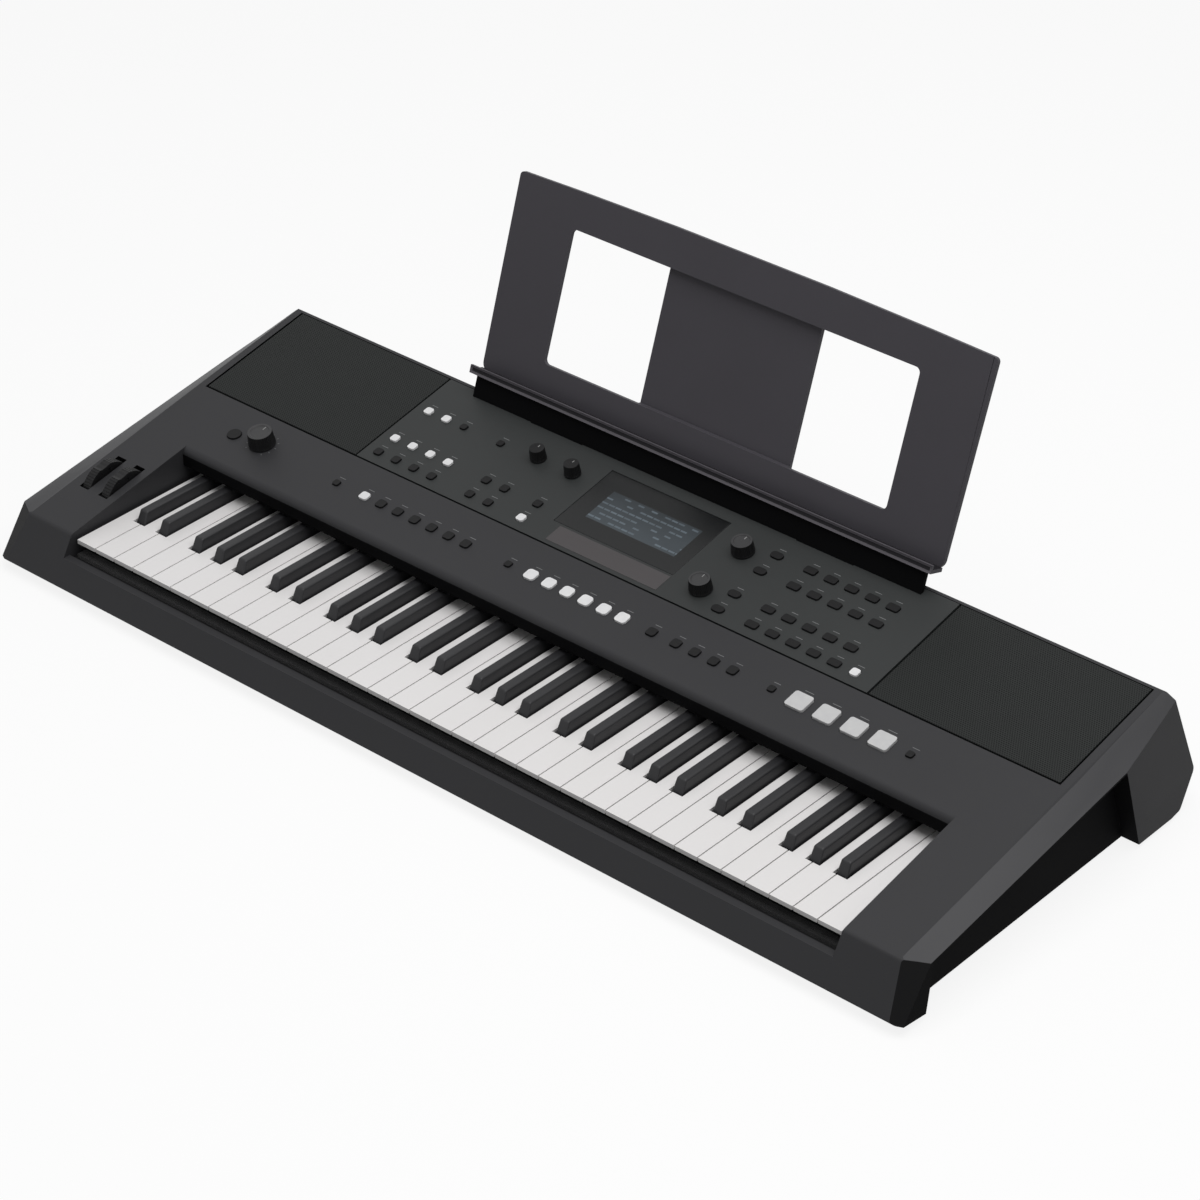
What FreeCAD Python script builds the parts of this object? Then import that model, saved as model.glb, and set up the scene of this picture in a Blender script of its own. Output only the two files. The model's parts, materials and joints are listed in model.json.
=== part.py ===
import FreeCAD, Part
import math
import os

# Arranger keyboard in millimetres: X to the player's right, Y to the rear, Z up.
# Depths run back from the front edge of the case and heights run up from the table.
# Angles are in degrees.

# Case outline seen from its end
case_width = 1002.0
case_depth = 402.0
panel_tilt = 11.1
panel_front_height = 47.4
front_edge_height = 10.0
front_lean = 25.0
rear_slope = 36.0
rear_edge_height = 30.0
foot_height = 4.0
base_front_depth = 44.0
base_rear_inset = 24.0
front_edge_radius = 2.0
front_top_radius = 6.0
rear_top_radius = 3.0
rear_edge_radius = 6.0
base_radius = 5.0

# Walls of the case
front_wall = 4.0
top_wall = 5.0
rear_wall = 4.0
floor_wall = 3.0
end_wall = 8.0

# Block at each end of the keys
end_block = 77.0

# Facets and recess at each end, as insets from the full width
corner_low_inset = 10.0
corner_top_inset = 20.5
corner_top_depth = 24.0
corner_rear_depth = 36.0
band_inset = 20.0
band_front_drop = 1.2
band_rear_drop = 18.7
band_edge = 2.0
rear_top_inset = 11.0
rear_low_inset = 6.5
rear_facet_length = 77.0
recess_depth = 17.0
recess_front_depth = 30.0
recess_top_depth = 40.0
recess_rear_step = 41.0

# Clearances shared by all pieces
overrun = 20.0
running_gap = 0.05
sheet_gap = 0.6
button_gap = 0.4
tongue_gap = 0.5
seat_gap = 0.3

# Keys
octave_count = 5
whites_per_octave = 7
key_gap = 1.1
key_front = 28.0
key_drop = 0.4
key_plate = 3.5
key_lip_height = 4.0
key_lip = 2.5
black_front = 83.0
black_tuck = 25.0
black_rise = 10.5
black_slot = 13.2
black_width = 11.4
black_top_width = 9.4
black_nose_slope = 6.0
notch_gap = 1.2
hinge_setback = 26.0
hinge_pitch = 10.0
hinge_drop = 7.5
hinge_radius = 2.5
hinge_web = 4.4

# Key opening, rail in front of it and fall behind it
opening_clearance = 3.0
rail_drop = 14.0
rail_depth = 21.0
rail_thickness = 3.0
fall_depth = 161.0
fall_clearance = 4.5
fall_thickness = 4.0
nose_length = 13.0
nose_radius = 7.0
cheek_wall = 4.0
cheek_drop = 21.0
cheek_rear_inset = 1.0

# Key chassis with its boards and strips
chassis_side_gap = 1.0
chassis_leg = 6.0
chassis_front = 25.0
chassis_leg_front = 46.0
chassis_front_drop = 18.0
chassis_plate = 3.0
chassis_step = 64.0
chassis_drop = 14.0
chassis_ramp_gap = 18.0
chassis_ramp_length = 9.0
chassis_rear_margin = 10.0
hinge_rail = 6.0
white_felt_front = 27.0
white_felt_length = 10.0
white_felt_height = 3.4
black_felt_front = 85.0
black_felt_length = 12.0
black_felt_height = 2.0
contact_front = 110.0
contact_length = 46.0
board_thickness = 1.6
rubber_inset = 4.0
rubber_sheet = 0.8
dome_radius = 4.0
dome_height = 1.0

# Pocket in the top for the grilles and the centre panel
strip_width = 62.0
pocket_rear_inset = 4.0
pocket_side_inset = 27.0
sheet_thickness = 2.4
grille_width = 186.4
groove_width = 1.8
ledge_side = 4.0
ledge_front = 6.0
well_back_share = 0.7937

# Loudspeakers
speaker_hole_inset = 17.0
speaker_flange_lap = 10.0
speaker_flange = 3.0
speaker_rim = 4.0
speaker_hub_share = 0.413
speaker_cap_share = 0.3333
speaker_magnet_share = 0.5714
speaker_cone_depth = 19.0
speaker_basket_depth = 25.0
speaker_magnet_height = 14.0

# Display, with its edges as shares of the centre panel
window_left_share = -0.2606
window_right_share = 0.2077
window_front_share = 0.2222
window_back_share = 0.8333
module_inset = 5.0

# Panel board under the controls, hung on posts from the top wall
board_drop = 10.4
board_end_margin = 12.0
board_front_margin = 13.0
board_side_inset = 5.0
post_radius = 3.0
switch_size = 6.0
post_front_inset = 10.0
post_edge_gap = 0.5
post_rear_inset = 2.5
post_side_inset = 17.0
post_inner_share = 0.3345
post_left_share = -0.7822
post_right_share = 0.8056

# Push buttons: cap above the sheet, wider runner below it
button_travel = 1.2
button_proud = 1.6
pad_proud = 2.2
runner_lip = 1.0
runner_base = 6.6
corner_share = 0.28
round_corner_share = 0.48
power_size = 13.0
small_size = 6.5
bank_size = 9.0
lit_size = 8.0
track_size = 11.5
pad_width = 18.5
pad_length = 18.0
panel_button_width = 12.0
panel_button_length = 7.5
style_count = 6
track_count = 6
memory_count = 4
pad_count = 4
left_count = 4
page_count = 2
category_count = 5

# Places along the strip behind the keys, as shares of the key opening's half width
power_share = -0.9368
volume_share = -0.863
sync_share = -0.637
start_share = -0.5574
style_pitch_share = 0.04684
mixer_share = -0.1616
track_first_share = -0.1007
track_pitch_share = 0.04754
memory_bank_share = 0.2119
memory_first_share = 0.2728
memory_pitch_share = 0.04684
tap_share = 0.5082
pad_first_share = 0.5747
pad_pitch_share = 0.06534
stop_share = 0.8349

# Rows of the strip, as shares of the way from the keys' fall to the pocket
strip_row_share = 0.4194
volume_row_share = 0.4839

# Places across the centre panel, as shares of its half width
left_first_share = -0.9489
left_pitch_share = 0.075
mode_share = -0.6444
page_first_share = -0.5634
page_pitch_share = 0.0757
tone_left_share = -0.4947
tone_right_share = -0.3539
enter_share = -0.3521
dial_share = 0.3204
category_column_share = 0.419
category_first_share = 0.5458
category_pitch_share = 0.0757
user_share = 0.9225

# Rows of the centre panel, as shares of the pocket's depth
low_row_share = 0.119
dial_lower_share = 0.2103
middle_row_share = 0.2897
upper_row_share = 0.5556
left_upper_row_share = 0.6389
dial_upper_share = 0.6508
tone_row_share = 0.6587
top_row_share = 0.7357

# Rotary controls
stem_radius = 3.0
stem_room = 1.0
stem_depth = 10.0
knob_lift = 0.4
knob_top_share = 0.9
control_body = 14.0
volume_radius = 12.5
volume_height = 14.0
tone_radius = 7.6
tone_height = 12.0
dial_radius = 10.4
dial_height = 12.0

# Pitch and modulation wheels with their bracket and axle
wheel_depth = 99.0
wheel_radius = 26.5
wheel_proud = 9.0
wheel_width = 9.0
wheel_pitch = 24.0
wheel_side_gap = 1.3
wheel_slot_gap = 1.0
axle_radius = 3.0
bracket_plate = 3.2
bracket_wall_gap = 1.0
bracket_base = 3.0
bracket_arm = 20.0
bracket_foot = 46.0
bracket_crown = 7.0

# Main board
main_left = -190.0
main_right = 130.0
main_front_gap = 20.0
main_rear_inset = 22.0
main_height = 18.0
main_post_radius = 4.0
main_post_inset = 8.0
chip_size = 24.0
chip_height = 3.0
chip_count = 5

# Jack bay in the rear wall
bay_left = -150.0
bay_right = 10.0
bay_low = 44.0
bay_high = 86.0
bay_depth = 30.0
bay_wall = 2.5
jack_height = 64.0
jack_barrel_radius = 5.5
jack_bore_radius = 3.25
jack_bore_depth = 16.0
jack_nut_radius = 8.0
jack_nut = 2.2
jack_stand_out = 3.6
jack_body = 15.0
jack_body_length = 18.0
pedal_x = -30.0
phones_x = -62.0
usb_x = -95.0
usb_width = 12.0
usb_height = 11.0
usb_wall = 1.8
usb_length = 16.0
usb_port_depth = 9.0
usb_stand_out = 0.6
inlet_x = -125.0
inlet_size = 11.0
inlet_length = 14.0
inlet_bore_radius = 3.2
inlet_bore_depth = 9.5
inlet_pin_radius = 1.0
inlet_stand_out = 0.6

# Feet and case screws
foot_radius = 9.0
foot_side_inset = 71.0
foot_front = 60.0
foot_rear_inset = 34.0
boss_radius = 4.5
boss_side_inset = 46.0
boss_front = 52.0
boss_middle = 180.0
boss_back_inset = 21.0
boss_rear_inset = 16.0
boss_rear_x = 250.0
screw_radius = 1.5
screw_length = 18.0
screw_head_radius = 3.3
screw_head = 2.0
screw_room = 0.25

# Music rest: plate leaning back, tray in front of it, foot and tongues below
rest_setback = 11.5
rest_rise = 15.4
rest_lean = 18.3
rest_length = 183.0
rest_arch = 4.0
rest_side_inset = 27.5
rest_flare = 2.5
rest_plate = 4.0
rest_top_radius = 4.0
rest_low_radius = 10.0
tray_depth = 17.0
tray_plate = 3.5
tray_lip = 2.5
tray_lip_height = 4.0
rest_bridge_half = 83.0
rest_window_side = 66.5
rest_window_low = 26.0
rest_window_high = 151.0
rest_window_radius = 5.0
rest_recess = 7.0
foot_back_offset = 9.0
foot_plate = 4.0
rest_foot_inset = 6.5
foot_reach = 26.0
tongue_share = 0.5848
tongue_width = 60.0
tongue_length = 45.0
slot_length = 75.0

vec = FreeCAD.Vector
half_width = case_width / 2
tilt = math.radians(panel_tilt)
base_height = foot_height
x_axis = vec(1, 0, 0)
y_axis = vec(0, 1, 0)
z_axis = vec(0, 0, 1)
origin = vec(0, 0, 0)

# Widths across the keys, the pocket and the music rest
white_total = octave_count * whites_per_octave + 1
keys_half = half_width - end_block
white_pitch = keys_half * 2 / white_total
octave_span = white_pitch * whites_per_octave
opening_half = keys_half + opening_clearance
pocket_half = half_width - pocket_side_inset
panel_half_width = pocket_half - groove_width * 2 - grille_width
rest_low_half = panel_half_width - rest_side_inset
rest_top_half = rest_low_half + rest_flare
tongue_x = rest_low_half * tongue_share

# Depths of the end facets, the keys, the pocket and what stands near the rear
rear_top_depth = case_depth - rear_slope
base_rear_depth = case_depth - base_rear_inset
rear_facet_depth = rear_top_depth - rear_facet_length
recess_rear_depth = rear_top_depth - recess_rear_step
nose_back = fall_depth + nose_length
black_back = fall_depth + black_tuck
hinge_depth = black_back + hinge_setback
hinges = [hinge_depth + hinge_pitch * index for index in range(3)]
outer_hinge, inner_hinge, black_hinge = hinges
chassis_ramp = hinge_depth - chassis_ramp_gap
chassis_back = black_hinge + chassis_rear_margin
pocket_front = nose_back + strip_width
pocket_back = rear_top_depth - pocket_rear_inset
cheek_back = pocket_front - cheek_rear_inset
rest_depth = pocket_back + rest_setback
bay_face = case_depth - bay_depth
main_back = rear_top_depth - main_rear_inset
main_front = chassis_back + main_front_gap
foot_back = case_depth - foot_rear_inset
boss_back = rear_top_depth - boss_back_inset
boss_rear_depth = rear_top_depth - boss_rear_inset

# Heights that follow the keys
key_top = panel_front_height - key_drop
rail_height = key_top - rail_drop
hinge_height = key_top - hinge_drop
fall_low = key_top + black_rise + fall_clearance
cheek_low = key_top - cheek_drop
chassis_top = key_top - chassis_drop
chassis_front_top = key_top - chassis_front_drop


# Height of the panel plane at a depth
def panel_height(depth):
    return panel_front_height + depth * math.tan(tilt)


# Distance along the sloping panel for a depth
def along(depth):
    return depth / math.cos(tilt)


def block(x_low, x_high, y_low, y_high, z_low, z_high):
    size = (x_high - x_low, y_high - y_low, z_high - z_low)
    return Part.makeBox(*size, vec(x_low, y_low, z_low))


def rod_x(radius, x_low, x_high, y, z):
    return Part.makeCylinder(radius, x_high - x_low, vec(x_low, y, z), x_axis)


def rod_y(radius, x, y_low, y_high, z):
    return Part.makeCylinder(radius, y_high - y_low, vec(x, y_low, z), y_axis)


def rod_z(radius, x, y, z_low, z_high):
    return Part.makeCylinder(radius, z_high - z_low, vec(x, y, z_low), z_axis)


def joined(shapes):
    return shapes[0].fuse(shapes[1:]).removeSplitter()


def mirrored(shape):
    return shape.mirror(origin, x_axis)


# Face inside an outline of flat points, with each corner rounded by its own radius
def outlined(points, radii, place):
    starts = []
    ends = []
    arcs = []
    for index, (across, up) in enumerate(points):
        corner = place(across, up)
        before = place(*points[index - 1]) - corner
        after = place(*points[(index + 1) % len(points)]) - corner
        radius = radii[index]
        half_angle = before.getAngle(after) / 2
        before.normalize()
        after.normalize()
        tangent = radius / math.tan(half_angle)
        starts.append(corner + before * tangent)
        ends.append(corner + after * tangent)
        if radius > 0:
            inward = before + after
            inward.normalize()
            middle = corner + inward * (radius / math.sin(half_angle) - radius)
            arcs.append(Part.Arc(starts[-1], middle, ends[-1]).toShape())
        else:
            arcs.append(None)
    edges = []
    for index in range(len(points)):
        edges.append(Part.makeLine(ends[index - 1], starts[index]))
        if arcs[index]:
            edges.append(arcs[index])
    return Part.Face(Part.Wire(edges))


# Outline of (depth, height) points swept along X
def swept(points, x_low, x_high, radii=None):
    rounding = radii or [0] * len(points)
    face = outlined(points, rounding, lambda depth, height: vec(x_low, depth, height))
    return face.extrude(vec(x_high - x_low, 0, 0))


# Outline whose sides move inwards, each by its own wall
def inset(points, walls):
    sides = []
    for index, (depth, height) in enumerate(points):
        next_depth, next_height = points[(index + 1) % len(points)]
        run = math.hypot(next_depth - depth, next_height - height)
        step = ((next_depth - depth) / run, (next_height - height) / run)
        start = (depth + step[1] * walls[index], height - step[0] * walls[index])
        sides.append((start, step))
    corners = []
    for index, (start, step) in enumerate(sides):
        last_start, last_step = sides[index - 1]
        turn = last_step[0] * step[1] - last_step[1] * step[0]
        gap = (start[0] - last_start[0], start[1] - last_start[1])
        reach = (gap[0] * step[1] - gap[1] * step[0]) / turn
        corners.append((last_start[0] + last_step[0] * reach, last_start[1] + last_step[1] * reach))
    return corners


# Everything to the right of the plane through three points
def beyond(first, second, third):
    normal = (second - first).cross(third - first)
    normal.normalize()
    if normal.x < 0:
        normal = normal * -1
    sheet = Part.Plane(first, normal).toShape(-case_width, case_width, -case_width, case_width)
    return sheet.extrude(normal * case_width)


# Move from the panel's own frame to the case
panel_place = FreeCAD.Placement(vec(0, 0, panel_front_height), FreeCAD.Rotation(x_axis, panel_tilt))
rest_height = panel_height(rest_depth) + rest_rise
rest_place = FreeCAD.Placement(vec(0, rest_depth, rest_height), FreeCAD.Rotation(x_axis, -rest_lean))


def placed(shape, place):
    moved = shape.copy()
    moved.Placement = place.multiply(shape.Placement)
    return moved


def on_panel(shape):
    return placed(shape, panel_place)


# Box on the panel: across, between two depths and between two levels below or above it
def panel_block(x_low, x_high, front, back, low, high):
    return on_panel(block(x_low, x_high, along(front), along(back), low, high))


def panel_rod(radius, x, depth, low, high):
    return on_panel(rod_z(radius, x, along(depth), low, high))


# Controls: node, kind of place and size of every button
strip_sheet = top_wall
centre_sheet = sheet_thickness


# Places on the strip and on the centre panel
def strip_x(share):
    return opening_half * share


def strip_depth(share):
    return nose_back + (pocket_front - nose_back) * share


def centre_x(share):
    return panel_half_width * share


def centre_depth(share):
    return pocket_front + (pocket_back - pocket_front) * share


def square(x, depth, size, share=corner_share):
    return (x, depth, size, size, size * share)


def wide(x, depth, share=corner_share):
    length = panel_button_length
    return (x, depth, panel_button_width, length, length * share)


def row(first, pitch, count):
    return [first + pitch * index for index in range(count)]


strip_row = strip_depth(strip_row_share)
power_x = strip_x(power_share)
start_x = strip_x(start_share)
stop_x = strip_x(stop_share)
style_pitch = strip_x(style_pitch_share)
style_columns = row(start_x + style_pitch, style_pitch, style_count)
track_columns = row(strip_x(track_first_share), strip_x(track_pitch_share), track_count)
memory_columns = row(strip_x(memory_first_share), strip_x(memory_pitch_share), memory_count)
memory_columns.append(strip_x(memory_bank_share))
pad_columns = row(strip_x(pad_first_share), strip_x(pad_pitch_share), pad_count)
small_columns = [strip_x(sync_share), strip_x(mixer_share), strip_x(tap_share), stop_x]

low_row = centre_depth(low_row_share)
middle_row = centre_depth(middle_row_share)
left_upper_row = centre_depth(left_upper_row_share)
category_rows = [low_row, middle_row, centre_depth(upper_row_share), centre_depth(top_row_share)]
left_columns = row(centre_x(left_first_share), centre_x(left_pitch_share), left_count)
page_columns = row(centre_x(page_first_share), centre_x(page_pitch_share), page_count)
category_columns = row(centre_x(category_first_share), centre_x(category_pitch_share), category_count)
category_column_x = centre_x(category_column_share)
mode_x = centre_x(mode_share)
enter_x = centre_x(enter_share)
user_x = centre_x(user_share)

strip_controls = {
    "power_button": [square(power_x, strip_row, power_size, round_corner_share)],
    "strip_buttons": [square(x, strip_row, small_size) for x in small_columns]
    + [square(x, strip_row, bank_size) for x in style_columns + memory_columns],
    "start_button": [square(start_x, strip_row, bank_size)],
    "track_buttons": [square(x, strip_row, track_size) for x in track_columns],
}
for index, x in enumerate(pad_columns):
    pad = (x, strip_row, pad_width, pad_length, pad_width * corner_share / 2)
    strip_controls["pad_%d" % (index + 1)] = [pad]

centre_controls = {
    "lit_buttons": [square(x, left_upper_row, lit_size) for x in left_columns[:2]]
    + [square(x, middle_row, lit_size) for x in left_columns]
    + [square(x, low_row, lit_size) for x in (enter_x, user_x)],
    "left_panel_buttons": [square(x, low_row, lit_size) for x in left_columns]
    + [square(x, left_upper_row, small_size) for x in (left_columns[2], mode_x)]
    + [square(x, low_row, lit_size) for x in page_columns]
    + [square(x, middle_row, lit_size) for x in page_columns + [enter_x]],
    "category_buttons": [wide(category_column_x, depth, round_corner_share) for depth in category_rows]
    + [wide(x, depth) for x in category_columns for depth in category_rows],
}

volume_place = (strip_x(volume_share), strip_depth(volume_row_share))
tone_depth = centre_depth(tone_row_share)
dial_x = centre_x(dial_share)
strip_knobs = {"volume_knob": (*volume_place, volume_radius, volume_height)}
centre_knobs = {
    "left_tone_knob": (centre_x(tone_left_share), tone_depth, tone_radius, tone_height),
    "right_tone_knob": (centre_x(tone_right_share), tone_depth, tone_radius, tone_height),
    "upper_dial": (dial_x, centre_depth(dial_upper_share), dial_radius, dial_height),
    "lower_dial": (dial_x, centre_depth(dial_lower_share), dial_radius, dial_height),
}


# Upright block on the panel with rounded corners, grown on all sides by a margin
def pillar(spot, margin, low, high):
    x, depth, width, length, corner = spot
    half_x = width / 2 + margin
    half_y = length / 2 + margin
    middle = along(depth)
    ring = [(x - half_x, middle - half_y), (x + half_x, middle - half_y)]
    ring += [(x + half_x, middle + half_y), (x - half_x, middle + half_y)]
    face = outlined(ring, [corner + margin] * 4, lambda across, back: vec(across, back, low))
    return on_panel(face.extrude(vec(0, 0, high - low)))


# Button cap with the runner that keeps it under the sheet
def button(spot, sheet, proud):
    x, depth, width, length, corner = spot
    top = -sheet - button_gap
    reach_x = width / 2 + runner_lip
    reach_y = length / 2 + runner_lip
    middle = along(depth)
    sides = (x - reach_x, x + reach_x, middle - reach_y, middle + reach_y)
    runner = on_panel(block(*sides, -runner_base, top))
    return joined([pillar(spot, 0, top, proud), runner])


def button_holes(controls):
    holes = []
    for spots in controls.values():
        holes += [pillar(spot, button_gap, -top_wall - overrun, overrun) for spot in spots]
    return holes


def knob(x, depth, radius, height):
    top = knob_lift + height
    cap = Part.makeCone(radius, radius * knob_top_share, height, vec(x, along(depth), knob_lift), z_axis)
    stem = rod_z(stem_radius, x, along(depth), -stem_depth, top - height / 2)
    return on_panel(joined([cap, stem]))


def stem_holes(knobs):
    radius = stem_radius + stem_room
    low = -top_wall - overrun
    return [panel_rod(radius, x, depth, low, overrun) for x, depth, _, _ in knobs.values()]


# Keys: heads at the front, tails between the black keys, one hinge bar for each comb
tail_low = key_top - key_plate
head_back = black_front - notch_gap


# White tails and black slots of a run of white keys that begins at a left edge
def key_run(left, whites):
    tail = (whites * white_pitch - (whites - 1) * black_slot) / whites
    tails = [(left + index * (tail + black_slot), tail) for index in range(whites)]
    slots = [start + tail + black_slot / 2 for start, tail in tails[:-1]]
    return tails, slots


def white_key(left, tail_left, tail_width, hinge):
    lip_back = key_front + key_lip
    lip_low = key_top - key_lip_height
    side = [(key_front, lip_low), (key_front, key_top), (head_back, key_top)]
    side += [(head_back, tail_low), (lip_back, tail_low), (lip_back, lip_low)]
    head = swept(side, left + key_gap / 2, left + white_pitch - key_gap / 2)
    tail_right = tail_left + tail_width
    return [head] + key_tail(tail_left + key_gap / 2, tail_right - key_gap / 2, head_back, hinge)


# Arm back to the hinge bar and the web that joins the two
def key_tail(left, right, front, hinge):
    web_back = hinge + hinge_web / 2
    arm = block(left, right, front, web_back, tail_low, key_top)
    web = block(left, right, hinge - hinge_web / 2, web_back, hinge_height, tail_low)
    return [arm, web]


def black_key(middle, hinge):
    top = key_top + black_rise
    half_low = black_width / 2
    half_top = black_top_width / 2
    nose = black_front + black_nose_slope
    rings = []
    for half, front, height in ((half_low, black_front, tail_low), (half_top, nose, top)):
        ring = [vec(middle - half, front, height), vec(middle + half, front, height)]
        ring += [vec(middle + half, black_back, height), vec(middle - half, black_back, height)]
        rings.append(Part.makePolygon(ring + ring[:1]))
    body = Part.makeLoft(rings, True, True)
    return [body] + key_tail(middle - half_low, middle + half_low, black_back, hinge)


def hinge_bar(left, span, hinge):
    return rod_x(hinge_radius, left + key_gap / 2, left + span - key_gap / 2, hinge, hinge_height)


nodes = {}
key_middles = []
for octave in range(octave_count):
    left = octave * octave_span - keys_half
    first_tails, first_slots = key_run(left, 3)
    second_tails, second_slots = key_run(left + 3 * white_pitch, 4)
    tails = first_tails + second_tails
    combs = {outer_hinge: [], inner_hinge: [], black_hinge: []}
    for index, (tail_left, tail_width) in enumerate(tails):
        hinge = hinges[index % 2]
        combs[hinge] += white_key(left + index * white_pitch, tail_left, tail_width, hinge)
        key_middles.append(tail_left + tail_width / 2)
    for middle in first_slots + second_slots:
        combs[black_hinge] += black_key(middle, black_hinge)
        key_middles.append(middle)
    for hinge, pieces in combs.items():
        pieces.append(hinge_bar(left, octave_span, hinge))
    nodes["octave_%d_outer_whites" % (octave + 1)] = joined(combs[outer_hinge])
    nodes["octave_%d_inner_whites" % (octave + 1)] = joined(combs[inner_hinge])
    nodes["octave_%d_black_keys" % (octave + 1)] = joined(combs[black_hinge])
last_left = keys_half - white_pitch
last_key = white_key(last_left, last_left, white_pitch, outer_hinge)
nodes["top_white_key"] = joined(last_key + [hinge_bar(last_left, white_pitch, outer_hinge)])
key_middles.append(last_left + white_pitch / 2)

# Key chassis: one section along the keys, with a groove for every hinge bar
chassis_half = opening_half - chassis_side_gap
floor_top = base_height + floor_wall
ramp_back = chassis_ramp + chassis_ramp_length
rail_low = hinge_height - hinge_rail
plate_low = chassis_top - chassis_plate
front_low = chassis_front_top - chassis_plate
rear_leg = chassis_back - chassis_leg
chassis_section = [
    (chassis_leg_front, floor_top),
    (chassis_leg_front, front_low),
    (chassis_front, front_low),
    (chassis_front, chassis_front_top),
    (chassis_step, chassis_front_top),
    (chassis_step, chassis_top),
    (chassis_ramp, chassis_top),
    (ramp_back, hinge_height),
    (chassis_back, hinge_height),
    (chassis_back, floor_top),
    (rear_leg, floor_top),
    (rear_leg, rail_low),
    (ramp_back, rail_low),
    (chassis_ramp, plate_low),
    (chassis_step + chassis_plate, plate_low),
    (chassis_step + chassis_plate, front_low),
    (chassis_leg_front + chassis_leg, front_low),
    (chassis_leg_front + chassis_leg, floor_top),
]
chassis = swept(chassis_section, -chassis_half, chassis_half)
groove_radius = hinge_radius + running_gap
grooves = [rod_x(groove_radius, -half_width, half_width, hinge, hinge_height) for hinge in hinges]
nodes["key_chassis"] = chassis.cut(grooves)


# Strip under all the keys, from a depth and a level
def key_strip(front, length, low, height):
    return block(-keys_half, keys_half, front, front + length, low, low + height)


white_felt = key_strip(white_felt_front, white_felt_length, chassis_front_top, white_felt_height)
black_felt = key_strip(black_felt_front, black_felt_length, chassis_top, black_felt_height)
nodes["key_felt_strips"] = Part.makeCompound([white_felt, black_felt])
nodes["key_contact_board"] = key_strip(contact_front, contact_length, chassis_top, board_thickness)
contact_top = chassis_top + board_thickness
rubber_length = contact_length - rubber_inset * 2
rubber = key_strip(contact_front + rubber_inset, rubber_length, contact_top, rubber_sheet)
dome_depth = contact_front + contact_length / 2
dome_low = contact_top + rubber_sheet / 2
dome_top = contact_top + rubber_sheet + dome_height
domes = [rod_z(dome_radius, x, dome_depth, dome_low, dome_top) for x in key_middles]
nodes["key_contact_rubber"] = joined([rubber] + domes)

# Height of the outer edge of the end band, which drops further below the panel towards the rear
def band_height(depth):
    drop = band_front_drop + (band_rear_drop - band_front_drop) * depth / case_depth
    return panel_height(depth) - drop


# Section of what the end band takes off the case at a depth
def band_section(depth):
    level = panel_height(depth)
    crease = half_width - band_inset
    reach = half_width + overrun
    slope = (level - band_height(depth)) / band_inset
    corners = [vec(crease, depth, level), vec(reach, depth, level - (reach - crease) * slope)]
    corners += [vec(reach, depth, level + overrun), vec(crease, depth, level + overrun)]
    return Part.makePolygon(corners + corners[:1])


# Case: solid outline with facets and recesses at both ends, hollowed and split at the seam
case_outline = [
    (0, front_edge_height),
    (front_lean, panel_height(front_lean)),
    (rear_top_depth, panel_height(rear_top_depth)),
    (case_depth, rear_edge_height),
    (base_rear_depth, base_height),
    (base_front_depth, base_height),
]
case_radii = [front_edge_radius, front_top_radius, rear_top_radius]
case_radii += [rear_edge_radius, base_radius, base_radius]
case_walls = [front_wall, top_wall, rear_wall, rear_wall, floor_wall, floor_wall]
outside = swept(case_outline, -half_width, half_width, case_radii)
corner_low = vec(half_width - corner_low_inset, 0, front_edge_height)
corner_top = vec(half_width - corner_top_inset, corner_top_depth, panel_height(corner_top_depth))
corner_rear = vec(half_width, corner_rear_depth, band_height(corner_rear_depth))
rear_top = vec(half_width - rear_top_inset, rear_top_depth, panel_height(rear_top_depth))
rear_low = vec(half_width - rear_low_inset, case_depth, rear_edge_height)
rear_front = vec(half_width, rear_facet_depth, band_height(rear_facet_depth) - band_edge)
right_cuts = [
    Part.makeLoft([band_section(-overrun), band_section(case_depth + overrun)], True, True),
    beyond(corner_low, corner_top, corner_rear),
    beyond(rear_front, rear_top, rear_low),
]
recess_outline = [
    (recess_front_depth, -overrun),
    (recess_top_depth, band_height(recess_top_depth) - band_edge),
    (rear_facet_depth, band_height(rear_facet_depth) - band_edge),
    (recess_rear_depth, -overrun),
]
right_cuts.append(swept(recess_outline, half_width - recess_depth, half_width + overrun))
for cutter in right_cuts:
    outside = outside.cut([cutter, mirrored(cutter)])
inner_half = half_width - recess_depth - end_wall
inside = swept(inset(case_outline, case_walls), -inner_half, inner_half)
seam_rise = (rear_edge_height - front_edge_height) / case_depth
seam_front = front_edge_height - overrun * seam_rise
seam_back = rear_edge_height + overrun * seam_rise
below_seam = [(-overrun, seam_front), (case_depth + overrun, seam_back)]
below_seam += [(case_depth + overrun, -overrun), (-overrun, -overrun)]
lower_half = swept(below_seam, -case_width, case_width)
shell = outside.cut(inside)

# Upper case: key opening with rail, fall and cheeks, pocket, holes, slots and screw bosses
front_slope = front_lean / (panel_height(front_lean) - front_edge_height)
rail_front = (rail_height - front_edge_height) * front_slope + front_wall / 2
rail_low_height = rail_height - rail_thickness
rail_section = [(rail_front, rail_low_height), (rail_front, rail_height)]
rail_section += [(rail_depth, rail_height), (rail_depth, rail_low_height)]
wall_rise = top_wall / math.cos(tilt)
fall_section = [
    (fall_depth, fall_low),
    (fall_depth, panel_height(fall_depth)),
    (nose_back, panel_height(nose_back)),
    (nose_back, panel_height(nose_back) - wall_rise),
    (fall_depth + fall_thickness, panel_height(fall_depth + fall_thickness) - wall_rise),
    (fall_depth + fall_thickness, fall_low),
]
cheek_section = [
    (rail_front, cheek_low),
    (rail_front, rail_height),
    (front_lean, panel_height(front_lean) - wall_rise / 2),
    (cheek_back, panel_height(cheek_back) - wall_rise / 2),
    (cheek_back, cheek_low),
]
fall_radii = [0, nose_radius, 0, 0, 0, 0]
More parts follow.
